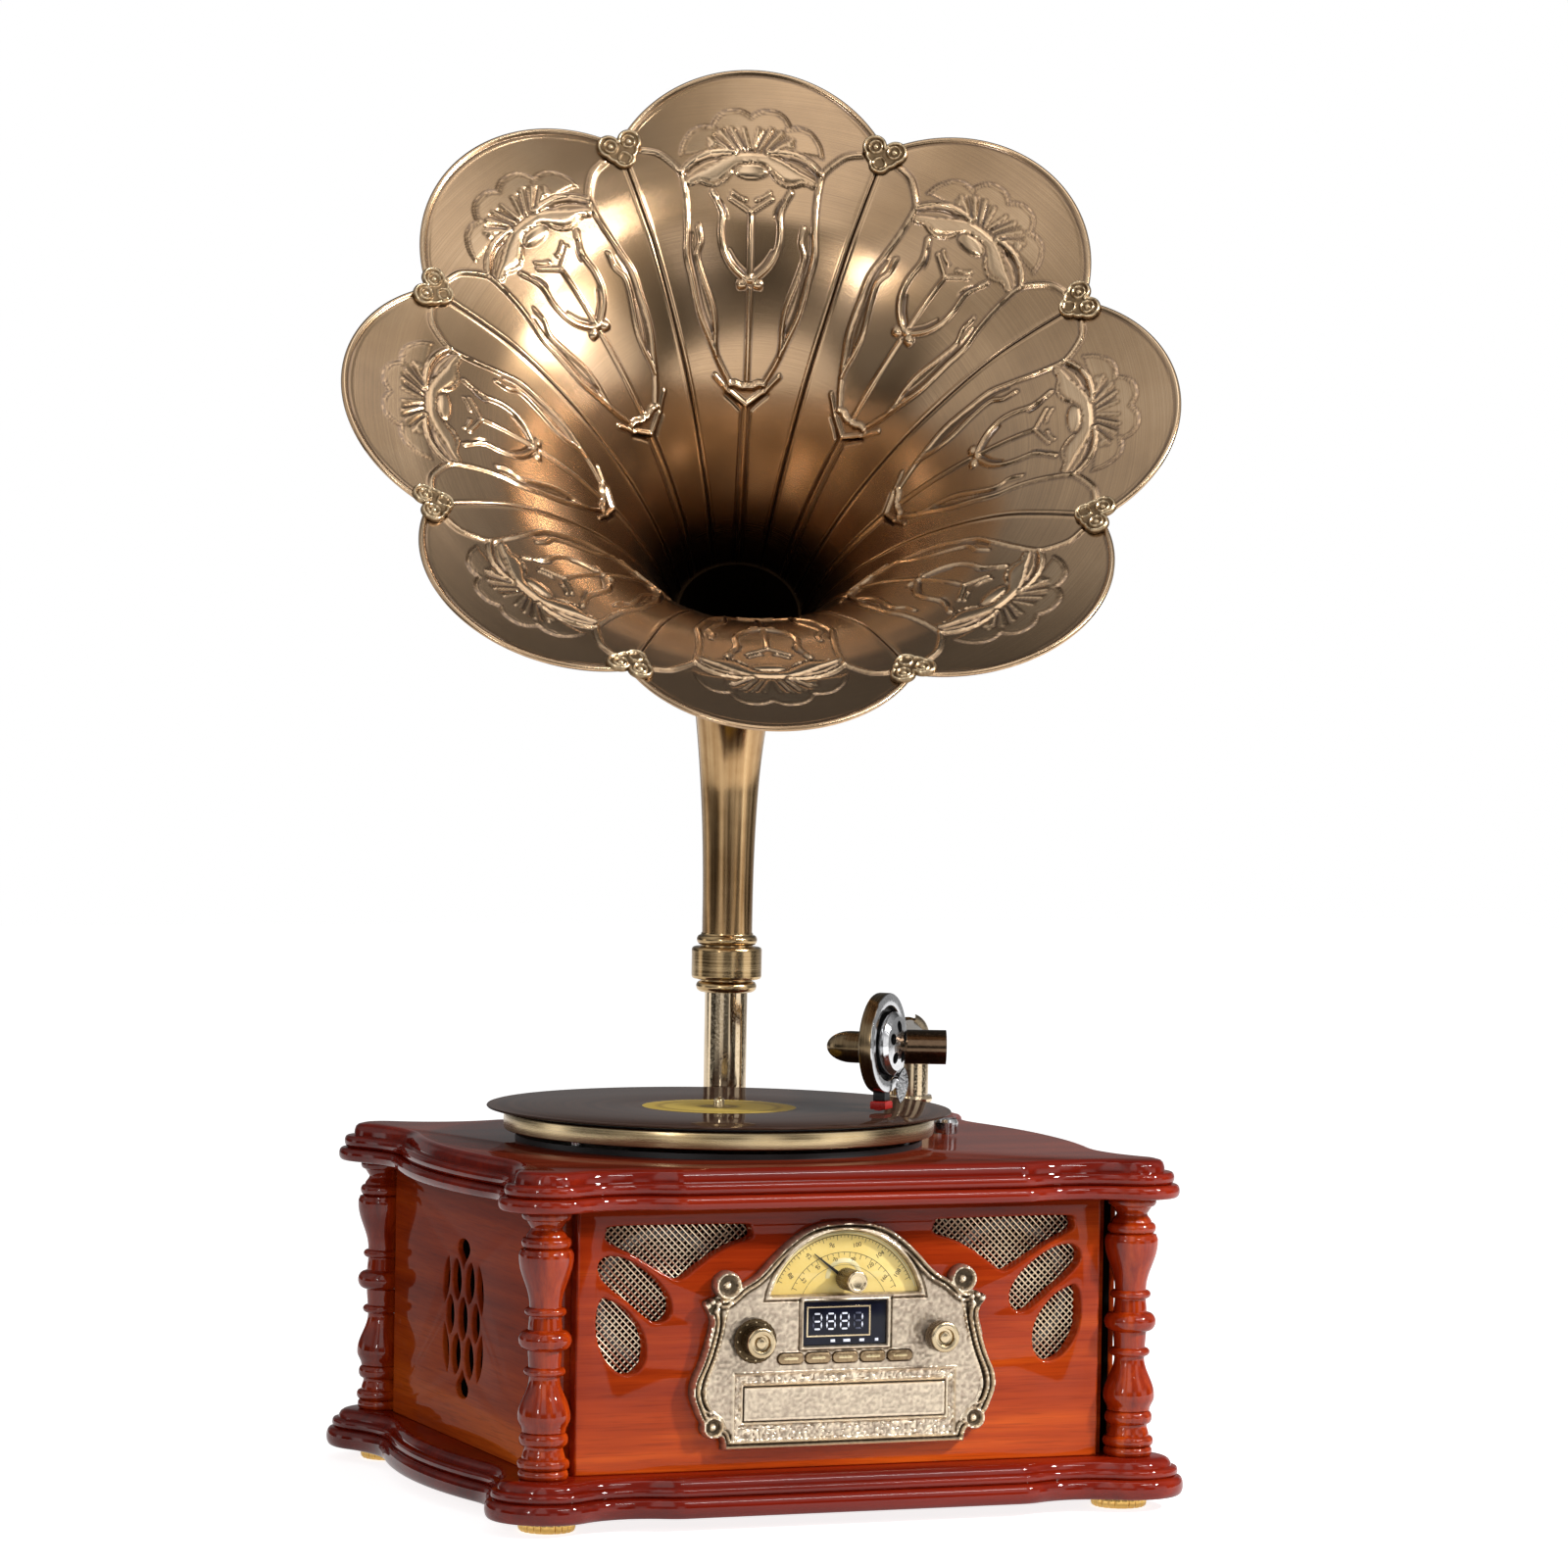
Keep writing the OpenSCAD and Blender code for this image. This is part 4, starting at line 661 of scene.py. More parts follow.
def petal_relief(x, y):
    """Height of the ornament, its darkening from 0 to 1 beside the ridges, partly patina and partly painted shade,
    and the depth of the grooves.
    """
    x = np.abs(x)
    h, shade = np.zeros(x.shape), np.zeros(x.shape)
    for height, edge, points in SHAPES:
        d = within(x, y, points)
        d = np.where((d > 0) & (x < edge), away(x, y, points[:-1]) if points[-1][0] == 0 else d, d)
        h = np.maximum(h, height * shoulder(d, edge))
        shade = np.maximum(shade, np.where(d < 0, np.exp(-(d / 1.1) ** 2), 0))
    for height, cx, cy, rx, ry in DOMES:
        q = ((x - cx) / rx) ** 2 + ((y - cy) / ry) ** 2
        h = np.maximum(h, height * dome(q))
        shade = np.maximum(shade, np.where(q > 1, np.exp(-((np.sqrt(q) - 1) * ry / 1.1) ** 2), 0))
    for height, w, points in RIDGES:
        d = away(x, y, stroke(points))
        h = np.maximum(h, height * cosine(d, w * 1.25) + np.where(d < w * 1.25, h * 0.4, 0))
        shade = np.maximum(shade, np.exp(-(np.clip(d - w * 1.2, 0, 99) / 0.8) ** 2) * (d > w))
    cut = np.zeros(x.shape)
    for depth, w, points in GROOVES:
        cut = np.maximum(cut, depth * cosine(away(x, y, stroke(points)), w * 1.2))
    return h - cut, shade, cut


def petals():
    """The petals, alike but for their brushed lines: an inner face in relief and a plainer outer face."""
    curve = smooth(CURVE, 24)
    s = runs_along(curve)
    angle = np.linspace(-HALF_PETAL, HALF_PETAL, 161)
    reach = SCALLOP_X * np.cos(angle) + np.sqrt(SCALLOP_R ** 2 - (SCALLOP_X * np.sin(angle)) ** 2)
    end = np.interp(reach, curve[:, 1], s)
    along = np.linspace(0, 1, 301)[:, None] * end[None, :]
    depth, radius = (np.interp(along, s, curve[:, k]) for k in (0, 1))
    # the sheet's normal, in depth and in radius
    nt, nr = np.interp(along, s, np.gradient(curve[:, 1], s)), -np.interp(along, s, np.gradient(curve[:, 0], s))
    h, shade, cut = petal_relief(radius * angle[None, :], np.interp(18, curve[:, 0], s) - along)
    # rolled rim
    px, py = radius * np.cos(angle), radius * np.sin(angle)
    rim = np.where(px > SCALLOP_X, (SCALLOP_R - np.hypot(px - SCALLOP_X, py)) * 1.07, 60)
    roll = dome(((rim - 1.7) / 1.7) ** 2)
    h = h + 1.3 * roll + 0.3 * cosine(np.abs(rim - 5.6), 0.9)
    shade = np.maximum(shade, np.exp(-((rim - 4.2) / 0.9) ** 2))
    # seam to the next petal
    seam = (HALF_PETAL - np.abs(angle))[None, :] * radius
    open_rim = np.clip((rim - 3) / 3, 0, 1)
    h = h + (0.5 * cosine(np.abs(seam - 1.9), 1.3) - 0.8 * cosine(seam, 1.1)) * open_rim
    shade = np.maximum(shade, 1.8 * cosine(seam, 1.3) * open_rim)
    h = h * np.clip(along / 9, 0, 1)
    # tone: rubbed bright on the ridges and dark in the grooves, as wear and patina; dark beside the ridges, inside
    # the rolled rim and along the seams, partly patina and partly painted shade; and painted shade darkening it
    # towards the throat
    relief = 0.5 + 0.13 * np.clip(h, 0, 1.6) / 1.6 - 0.24 * shade * (h < 0.8) - 0.26 * np.clip(cut, 0, 1)
    relief = relief - 0.1 * (1 - np.clip((along - 30) / 90, 0, 1)) - 0.24 * (1 - np.clip(along / 46, 0, 1))
    front, back = (np.stack([(radius + nr * k) * np.cos(angle), (radius + nr * k) * np.sin(angle),
                             depth + nt * k], -1) for k in (h, 0.55 * h * open_rim - SHEET - 1.2 * roll))
    back = back[::2, ::2]
    (m, n), (bm, bn) = front.shape[:2], back.shape[:2]
    faces = grid_faces(m, n) + [f[::-1] for f in grid_faces(bm, bn, m * n)]
    inner = np.arange(m * n).reshape(m, n)
    outer = m * n + np.arange(bm * bn).reshape(bm, bn)
    for f, b in ((inner[0], outer[0]), (inner[-1], outer[-1]), (inner[:, 0], outer[:, 0]),
                 (inner[:, -1], outer[:, -1])):
        for k in range(len(b) - 1):
            faces += [(f[2 * k], f[2 * k + 1], b[k]), (f[2 * k + 1], f[2 * k + 2], b[k + 1]),
                      (f[2 * k + 1], b[k + 1], b[k])]
    points = np.vstack([front.reshape(-1, 3), back.reshape(-1, 3)])
    uv = np.stack(np.broadcast_arrays(angle[None, :] * 0.2, along / 1000), -1)
    uv = np.vstack([uv.reshape(-1, 2), uv[::2, ::2].reshape(-1, 2)])
    tones = np.concatenate([relief.ravel(), np.full(bm * bn, 0.42)])
    for i in range(8):
        piece("petal_sheet_%d" % (i + 1), move(points, MOUTH @ turn("Z", 90 + i * 45)), faces, "horn", HORN,
              "horn_brass", ("petal_%d" % (i + 1),), uv=uv + [i * 0.37, 0], relief=tones, weld=0, sharp=60)


petals()


def neck_centre(s):
    """The middle of the neck at the length s along it, and the angle it has bent through."""
    b = max(0.0, (s - (BEND_Z - NECK_Z)) / BEND_R)
    if b == 0:
        return np.array([0, 0, NECK_Z + s]), 0.0
    return np.array([0, -BEND_R * (1 - math.cos(b)), BEND_Z + BEND_R * math.sin(b)]), b


def neck():
    """The flaring pipe, with eight faint flutes. Its end spreads a little to close against the petals."""
    a = np.linspace(0, 2 * np.pi, 97)

    def ring(s, wall, fluted):
        c, b = neck_centre(s)
        r = NECK_R + (THROAT_R - NECK_R) * (s / RUN) ** 2.5 - wall
        if fluted:
            flute = 0.010 * np.cos(8 * (a - math.pi / 8)) * min(1, s / 25, (RUN - s) / 30)
            r = r * (1 + flute) + 0.45 * max(0, 1 - (RUN - s) / 6)
        return c + np.stack([r * np.cos(a), r * np.sin(a) * math.cos(b), r * np.sin(a) * math.sin(b)], 1)

    runs = np.linspace(0, RUN, 90)
    outer = np.array([ring(s, 0, True) for s in runs])
    inner = np.array([ring(s, 1.6, False) for s in runs[::-3]])
    pipe = Parts()
    # the outer face has the neck's brass; the lip and the inner wall have the near-black brass, painted shade inside
    # the throat
    for k, p in enumerate((outer, np.concatenate([outer[-1:], inner, outer[:1]]))):
        pipe.grid(p, uv_grid(a * 0.02, np.linspace(0, 0.4, len(p))), k, NECK_FRAME)
    pipe.make("horn_neck_pipe", "horn", [NECK, THROAT_SHADE], "horn_brass", ("horn_neck",), sharp=60)


neck()

coupling = ([(14.55, 309), (17, 308), (18, 308.2)] + bead(308.4, 315.2, 18, 2.5)
            + [(17.6, 315.6), (17.6, 316.4), (22, 316.8), (23.2, 317.4), (23.8, 318.8), (23.8, 319.2), (23.8, 336.2),
               (23.8, 336.6), (23.2, 338), (22, 338.6), (17.6, 339), (17.6, 340)]
            + bead(340, 346.6, 18, 2.5)
            + [(17.6, 347.2), (17.6, 348), (11.5, 348), (11.5, 340.4), (14.55, 340.4), (14.55, 309)])
Parts().lathe(coupling, POST_FRAME, 96).make(
    "coupling_collar", "horn", TURNED, "horn_brass", ("horn_coupling",))
post = [(11.5, DECK), (19.8, DECK), (19.8, 224.6), (19, 226), (16.8, 226.2), (16.6, 228.2), (15.6, 229.6),
        (14.5, 230), (14.5, 340), (11.5, 340), (11.5, DECK)]
Parts().lathe(post, POST_FRAME, 96).make("post_pipe", "cabinet", POST, "horn_brass", ("horn_post",))

# ---------------------------------------------------------------- relief plates
def relief_plate(name, outline, height, box, step, m, body, finish, slot, replaced=(), copies=(np.eye(4),),
                 sharp=50):
    """A plate cast in relief, or several alike. outline(x, y) is the distance inside its edge, and
    height(x, y) gives the height and a tone from 0, a dark hollow, to 1, a rubbed crest."""
    x0, x1, y0, y1 = box
    x, y = np.meshgrid(np.arange(x0, x1 + step, step), np.arange(y0, y1 + step, step), indexing="ij")
    keep = outline(x[:-1, :-1] + step / 2, y[:-1, :-1] + step / 2) > 0
    near = np.zeros(x.shape, int)
    for a in (0, 1):
        for b in (0, 1):
            near[a:x.shape[0] - 1 + a, b:x.shape[1] - 1 + b] += keep
    edge = (near > 0) & (near < 4)
    px, py = x[edge], y[edge]
    for _ in range(3):  # the points at the edge move onto the outline
        d, e = outline(px, py), 0.02
        gx = (outline(px + e, py) - outline(px - e, py)) / (2 * e)
        gy = (outline(px, py + e) - outline(px, py - e)) / (2 * e)
        g = np.maximum(gx * gx + gy * gy, 0.3)
        px, py = px - d * gx / g, py - d * gy / g
    x[edge], y[edge] = px, py
    h, tone = height(x, y)
    used = near > 0
    number = np.cumsum(used.ravel()).reshape(x.shape) - 1
    total = int(used.sum())
    i, j = np.nonzero(keep)
    front = np.stack([number[i, j], number[i + 1, j], number[i + 1, j + 1], number[i, j + 1]], 1)
    ring = np.pad(keep, 1)
    walls = []
    for di, dj, a, b in ((-1, 0, (0, 0), (0, 1)), (1, 0, (1, 0), (1, 1)),
                         (0, -1, (0, 0), (1, 0)), (0, 1, (0, 1), (1, 1))):
        i, j = np.nonzero(keep & ~ring[1 + di:ring.shape[0] - 1 + di, 1 + dj:ring.shape[1] - 1 + dj])
        p, q = number[i + a[0], j + a[1]], number[i + b[0], j + b[1]]
        walls.append(np.stack([p, q, q + total, p + total], 1))
    faces = np.vstack([front, front[:, ::-1] + total] + walls).tolist()
    top = np.stack([x[used], y[used], h[used]], 1)
    local = np.vstack([top, top * [1, 1, 0]])
    tones = np.concatenate([tone[used], np.full(total, 0.3)])
    points = np.vstack([move(local, m @ c) for c in copies])
    every = [[k + n * len(local) for k in f] for n in range(len(copies)) for f in faces]
    return piece(name, points, every, body, finish, slot, replaced,
                 np.tile(local[:, :2] / 1000, (len(copies), 1)), sharp, np.tile(tones, len(copies)), weld=0)


def grain_noise(x, y, pitch, seed):
    """Smooth random bumps from 0 to 1 at the given spacing."""
    table = np.random.default_rng(seed).random((400, 400))
    u, v = x / pitch + 150, y / pitch + 150
    i, j = np.floor(u).astype(int) % 399, np.floor(v).astype(int) % 399
    a, b = u - np.floor(u), v - np.floor(v)
    a, b = a * a * (3 - 2 * a), b * b * (3 - 2 * b)
    return (table[i, j] * (1 - a) * (1 - b) + table[i + 1, j] * a * (1 - b)
            + table[i, j + 1] * (1 - a) * b + table[i + 1, j + 1] * a * b)


def in_box(x, y, x0, x1, y0, y1):
    """Distance inside a rectangle, negative outside it."""
    return np.minimum(np.minimum(x - x0, x1 - x), np.minimum(y - y0, y1 - y))


class Relief:
    """Height and tone of a cast plate, while ornament is laid on its ground."""
    def __init__(self, h, tone):
        self.h, self.tone = h, tone

    def ridge(self, distance, width, top, crest=0.95):
        c = cosine(distance, width)
        self.h = self.h * (1 - c) + np.maximum(self.h, top) * c
        self.tone = self.tone * (1 - c) + crest * c

    def groove(self, distance, width, depth):
        c = cosine(distance, width)
        self.h = self.h - depth * c
        self.tone = self.tone - 0.55 * c

    def ground(self, where, h, tone):
        self.h, self.tone = np.where(where, h, self.h), np.where(where, tone, self.tone)

    def lift(self, h, tone):
        self.h, self.tone = np.maximum(self.h, h), np.maximum(self.tone, tone)


# ---------------------------------------------------------------- radio panel
DIAL_Z, TUNING_Z, KEYS_Z = 129.1, 151.3, 102.4
SCREEN_BOX, SLOT_BOX = (-28.1, 28.1, 109.7, 137.3), (-67.9, 67.9, 64.0, 85.6)
SCROLLS = ((79.3, 149.3, 9.0), (88, 61.2, 7.6))  # middle and radius of the right-hand scrolls
HALF = np.vstack([smooth([(0, 187.4), (15, 186.5), (27.5, 182.6), (39.5, 174.6), (50, 165), (55.5, 159), (62, 153.5),
                          (70, 149), (80, 141), (86, 142), (90.4, 140.7), (94.6, 138.2), (91.5, 132), (89.8, 126),
                          (92, 116), (94.7, 107), (97.5, 99.5), (101.4, 91), (102.5, 81.5), (99.5, 72), (95.4, 64),
                          (88, 58), (82.5, 54)], 4), [(81.4, 51), (81.4, 46.5)]])
PANEL = np.vstack([HALF, HALF[::-1] * [-1, 1]])
BUTTON_X = [(i - 3) * 18.4 for i in range(1, 6)]


def in_half_moon(x, y):
    """Distance inside the dial's opening."""
    return np.minimum(52.1 - np.hypot(x, y - DIAL_Z), y - 142)


def in_key(x, y, cx, w=17.4, h=6.9):
    """Distance inside a key's opening, which has round ends."""
    return h / 2 - np.hypot(np.maximum(np.abs(x - cx) - (w - h) / 2, 0), y - KEYS_Z)


def panel_edge(x, y):
    d = within(x, y, PANEL)
    for cx, cy, r in SCROLLS:
        d = np.maximum(d, r - np.hypot(np.abs(x) - cx, y - cy))
    return d


def panel_holes(x, y):
    """Distance outside the nearest opening."""
    d = np.maximum(in_half_moon(x, y), np.maximum(in_box(x, y, *SCREEN_BOX), in_box(x, y, *SLOT_BOX)))
    for cx in BUTTON_X:
        d = np.maximum(d, in_key(x, y, cx))
    return -d


def panel_outline(x, y):
    d = np.minimum(panel_edge(x, y), panel_holes(x, y))
    return np.minimum(d, np.hypot(np.abs(x) - KNOB_X, y - KNOB_Z) - 3.4)


def panel_height(x, y):
    ax = np.abs(x)
    d = panel_edge(x, y)
    rough = grain_noise(x, y, 1.7, 5)
    cast = Relief(5.3 + 0.5 * rough, 0.44 + 0.26 * rough)
    # raised and sunk lines along the edge
    cast.groove(np.abs(d - 3.0), 1.3, 1.0)
    cast.groove(np.abs(d - 6.3), 1.3, 0.8)
    cast.ridge(np.abs(d - 4.7), 1.3, 7.4)
    cast.ridge(np.abs(d - 1.35), 1.7, 8.9)
    for cx, cy, r in SCROLLS:
        loop = np.hypot(ax - cx, y - cy)
        cast.ground(loop < r - 2.2, 5.0, 0.12)
        cast.ridge(np.abs(loop - (r - 1.7)), 1.8, 8.9)
        ball = dome((loop / 2.4) ** 2)
        cast.lift(5.0 + 3.0 * ball, 0.95 * (ball > 0.2))
    # a hollow with four balls at the shoulder
    cast.ground(np.hypot(ax - 88.6, y - 137.0) < 5.4, 5.0, 0.1)
    for bx, by in ((85.4, 138.0), (89.4, 139.2), (92.4, 136.8), (86.6, 133.4)):
        ball = dome((np.hypot(ax - bx, y - by) / 2.1) ** 2)
        cast.lift(5.2 + 3.4 * ball, 0.9 * ball)
    # stems down the sides
    for line, w, top in (([(95, 138), (92, 131), (90.4, 124), (92.6, 114)], 1.5, 8.4),
                         ([(70, 148), (76, 141), (80, 132), (82.5, 120), (86.5, 105), (91.5, 92), (93.4, 82),
                           (90, 72), (83, 66), (79.6, 60)], 1.3, 7.2),
                         ([(86, 136), (86, 122), (90, 106), (95.4, 93), (97.4, 82), (94.6, 73), (89, 69.6)],
                          1.2, 8.0)):
        cast.ridge(away(ax, y, smooth(line, 4)), w, top)
    beside = [(83, 134), (83.6, 122), (88, 106), (93.4, 92.4), (95.4, 82), (92, 72.6), (86, 68)]
    cast.groove(away(ax, y, smooth(beside, 4)), 1.2, 0.9)
    # frames round the dial and the display
    moon = -in_half_moon(x, y)
    cast.groove(np.abs(moon - 3.6), 1.0, 0.6)
    cast.ridge(np.abs(moon - 1.5), 1.6, 7.2, 0.85)
    screen = -in_box(x, y, *SCREEN_BOX)
    cast.groove(np.abs(screen - 2.9), 0.9, 0.5)
    cast.ridge(np.abs(screen - 1.2), 1.4, 7.0, 0.8)
    # the field of leaves round the drawer
    leaves = in_box(x, y, -74.6, 74.6, 51.2, 93.4)
    band = (leaves > 0.6) & (panel_holes(x, y) > 2.4)
    curl = np.abs(grain_noise(x, y, 2.0, 9) - 0.5) * 2
    curl = np.clip(1.25 * curl + 0.5 * grain_noise(x, y, 1.1, 4) - 0.2, 0, 1)
    cast.ground(band, 5.0 + 1.3 * curl, 0.36 + 0.5 * curl)
    cast.ridge(np.abs(leaves), 1.3, 7.2, 0.85)
    cast.ridge(np.abs(in_box(x, y, *SLOT_BOX) + 1.4), 1.4, 7.4, 0.85)
    for cx in BUTTON_X:
        cast.ridge(np.abs(in_key(x, y, cx) + 0.5), 0.9, 6.0, 0.5)
    # rounded edges
    return cast.h - 0.7 * (1 - shoulder(np.minimum(d, panel_holes(x, y)), 1.0)), np.clip(cast.tone, 0, 1)


PANEL_BRASS = patina_brass("panel_brass", (44, 34, 22), (110, 94, 74), (172, 156, 138), (240, 224, 196),
                           0.34, 420.0, metallic=0.8)
relief_plate("radio_panel", panel_outline, panel_height, (-104, 104, 45.6, 188.4), 0.8,
             T(0, -161, 0) @ FRONT, "cabinet", PANEL_BRASS, "pewter_brass", ("fascia",))

# dial
f = Finish("dial_gold", Roughness=0.32, Coat_Weight=0.6, Coat_Roughness=0.08)
cloud = f.noise(16.0, 3, 0.5)
fine = f.noise(500.0, 2, 0.5)
gold = f.ramp(cloud, (0.3, rgb(236, 200, 98)), (0.7, rgb(248, 224, 142)))
f.colour(f.mix(f.times(fine, 0.25), gold, rgb(252, 236, 176)))
f.bump(fine, 0.05, 0.0002)
DIAL = f.material
INK = plastic("dial_ink", (52, 34, 18), 0.5)
PALE = plastic("dial_pale", (250, 234, 176), 0.4)
DIAL_R, DIAL_LOW, DIAL_TOP = 54.4, 139.9, 162.3
a0 = math.degrees(math.asin((DIAL_LOW - DIAL_Z) / DIAL_R))
half_moon = arc((0, DIAL_Z), DIAL_R, a0, 180 - a0, 72)
Parts().plate([half_moon, circle((0, TUNING_Z), 2.9, 32)], 161, DIAL_TOP, FRONT, 0.2).make(
    "dial_face", "cabinet", DIAL, "dial_yellow", ("dial_scale",))


def strip(parts, z, r0, r1, start, stop, n=40, high=0.12):
    """A printed arc round a point on the dial's middle line."""
    loop = np.vstack([arc((0, z), r1, start, stop, n), arc((0, z), r0, stop, start, n)])
    parts.plate([loop], DIAL_TOP, DIAL_TOP + high, FRONT, 0.01, steps=0)


def letters(figures, size, m, parts, low, high):
    """Raised figures, centred at the frame's origin."""
    font = bpy.data.curves.new("figures", "FONT")
    font.body, font.size = figures, size
    font.align_x, font.align_y = "CENTER", "CENTER"
    font.extrude = (high - low) / 2
    font.resolution_u = 3
    p, faces = curve_mesh(font, (low + high) / 2)
    parts.add(move(p, m), faces)


ink = Parts()
for r0, r1 in ((49.2, 49.6), (38.4, 38.7), (30.4, 30.6)):
    strip(ink, DIAL_Z, r0, r1, 24, 156)
for k in range(45):
    a = 26 + k * 128 / 44
    long = 3.2 if k % 4 == 0 else 1.7
    for r in (49.4, 38.5)[:2 - k % 2]:
        strip(ink, DIAL_Z, r - long, r, a - 0.16 * 49 / r, a + 0.16 * 49 / r, 1)
for r, start, pitch, size, row in ((43.6, 146, 22.4, 4.0, "88 92 96 100 104 108"),
                                   (34.4, 142, 20.8, 3.4, "53 60 70 90 120 160")):
    for k, figures in enumerate(row.split()):
        a = start - k * pitch
        m = T(r * math.cos(math.radians(a)), 0, DIAL_Z + r * math.sin(math.radians(a))) @ turn("Y", a - 90)
        letters(figures, size, m @ FRONT, ink, DIAL_TOP, DIAL_TOP + 0.12)
ink.make("dial_marks", "cabinet", INK, "dial_yellow", sharp=60)
pale = Parts()
strip(pale, DIAL_Z, 50.2, 51.6, 18, 162, high=0.09)
strip(pale, TUNING_Z, 9.6, 12.6, 0, 180, high=0.09)
pale.make("dial_rings", "cabinet", PALE, "dial_yellow", sharp=60)

needle_frame = T(0, 0, TUNING_Z) @ turn("Y", -142.5) @ FRONT
needle = Parts()
needle.plate([np.array([[0, -1.25], [25.6, -0.28], [25.6, 0.28], [0, 1.25]])], 162.75, 163.3, needle_frame, 0.12)
needle.lathe([(2.45, 162.7), (4.6, 162.7), (4.6, 163.2), (4.2, 163.4), (2.45, 163.4), (2.45, 162.7)],
             needle_frame, 40)
needle.make("needle_hand", "tuning", BLACK, "black_metal", ("dial_needle",))

LATHED = (3.0, 1500.0, 1.0)  # noise scales of metal with turning lines
# darker copies of the knob brass for the milled barrel and the flange: painted shade
BARREL_SHADE = metal("knob_barrel_painted_shade", (124, 104, 76), (74, 58, 40), 0.26, LATHED, strength=0.04)
BEZEL_SHADE = metal("knob_bezel_painted_shade", (96, 80, 58), (56, 44, 30), 0.3, LATHED, strength=0.04)
KNOB = metal("knob_brass", (206, 188, 156), (150, 130, 98), 0.2, LATHED, strength=0.04)


def knob_piece(name, x, z, r, shaft, root, face, body, node, ribs, flange=None, cup=True):
    """A dished or plain knob with a milled edge, facing forwards, and the flange at its foot."""
    m = T(x, 0, z) @ FRONT

    def milled(a, q):
        edge = (q[:, 1:] > root + 0.9) & (q[:, 1:] < face - 1.2) & (q[:, :1] > r - 0.4)
        return 1 + 0.018 * np.sign(np.cos(ribs * a))[None, :] * edge

    profile = [(0, 151), (shaft, 151), (shaft, root), (r - 1.2, root), (r - 0.3, root + 0.3),
               (r - 0.2, root + 0.8), (r, root + 1), (r, face - 1.3), (r - 0.15, face - 1.1),
               (r - 0.3, face - 0.5), (r - 1.1, face)]
    crown = (((0.7, 0), (0.6, 0.4), (0.54, 2.4), (0.4, 2.6), (0.34, 1.4), (0.22, 1.0), (0, 0.9)) if cup else
             ((0.8, 0), (0.74, 0.3), (0.6, 0.6), (0.3, 0.8), (0, 0.85)))
    profile += [(r * k, face - drop) for k, drop in crown]
    p = Parts().lathe(profile[:8], m, 192, 1, radius=milled).lathe(profile[7:], m, 96)
    if flange:
        r1, low, high = flange
        p.lathe([(shaft, low), (r1 - 0.5, low), (r1, low + 0.4), (r1, high - 0.5), (r1 - 0.5, high),
                 (r1 - 2.0, high), (r1 - 2.3, high - 0.3), (shaft, high - 0.3)], m, 96, 2,
                radius=lambda a, q: 1 + 0.012 * np.cos(24 * a)[None, :] * (q[:, :1] > r1 - 0.4))
        for k in range(12):
            t = math.radians(k * 30)
            p.lathe([(0, high - 0.3), (0.75, high - 0.3), (0.6, high + 0.05), (0, high + 0.2)],
                    m @ T(11.9 * math.cos(t), 11.9 * math.sin(t), 0), 12)
    return p.make(name, body, [KNOB, BARREL_SHADE, BEZEL_SHADE], "knob_brass", (node,), sharp=40)


knob_piece("volume_grip", -KNOB_X, KNOB_Z, 9.5, 3.0, 170.4, 182.0, "volume_knob", "left_knob", 40,
           (14.0, 169.4, 171.0))
knob_piece("function_grip", KNOB_X, KNOB_Z, 9.5, 3.0, 170.4, 182.0, "function_knob", "right_knob", 40)
knob_piece("tuning_grip", 0, TUNING_Z, 6.8, 2.4, 164.6, 185.7, "tuning", "tuning_knob", 30, cup=False)

KEY = metal("key_brass", (158, 136, 106), (104, 84, 60), 0.34, 500.0)
LEGEND = metal("key_pale", (214, 198, 160), (170, 150, 110), 0.3, 500.0)


def bar(cx, w, h):
    """Outline with round ends, at the height of the keys."""
    return np.vstack([arc((cx + (w - h) / 2, KEYS_Z), h / 2, -90, 90, 14),
                      arc((cx - (w - h) / 2, KEYS_Z), h / 2, 90, 270, 14)])


for i, cx in enumerate(BUTTON_X, 1):
    key = Parts().plate([bar(cx, 17, 6.5)], 161.3, 167.9, FRONT, 0.6)
    key.plate([bar(cx, 9.4, 1.5)], 167.6, 168.1, FRONT, 0.12, 1)
    key.make("key_cap_%d" % i, "key_%d" % i, [KEY, LEGEND], "pewter_brass", ("button_%d" % i,))

# display
f = Finish("display_dark", Roughness=0.15, Specular_IOR_Level=0.2)
f.colour(f.mix(f.ramp(f.noise(60.0, 2, 0.5), (0.3, 0.0), (0.7, 1.0)), rgb(12, 13, 26), rgb(20, 22, 40)))
f.bump(f.noise(900.0, 2, 0.5), 0.02, 0.0001)
GLASS = f.material
f = Finish("display_lit", Roughness=0.4)
f.colour(f.mix(f.noise(300.0, 2, 0.5), rgb(206, 210, 226), rgb(240, 242, 250)))
f.put(f.shader.inputs["Emission Color"], rgb(214, 220, 240))
f.put(f.shader.inputs["Emission Strength"], 0.35)
LIT = f.material
UNLIT = plastic("display_unlit", (70, 74, 96), 0.5)
GLASS_TOP = 165.1  # where the marks begin, just inside the glass
display = Parts().plate([rectangle(-27.8, 27.8, 110, 137)], 158, 165.2, FRONT, 0.4)
display.plate([rectangle(-25.9, 17.2, 115.2, 134.4), rectangle(-24.9, 16.2, 116.2, 133.4)[::-1]],
              GLASS_TOP, 165.6, FRONT, 0.15, 2)
DIGIT_X, DIGIT_Z, DIGIT_PITCH = -18.6, 120.0, 9.2  # middle of the first digit's foot, and the spacing
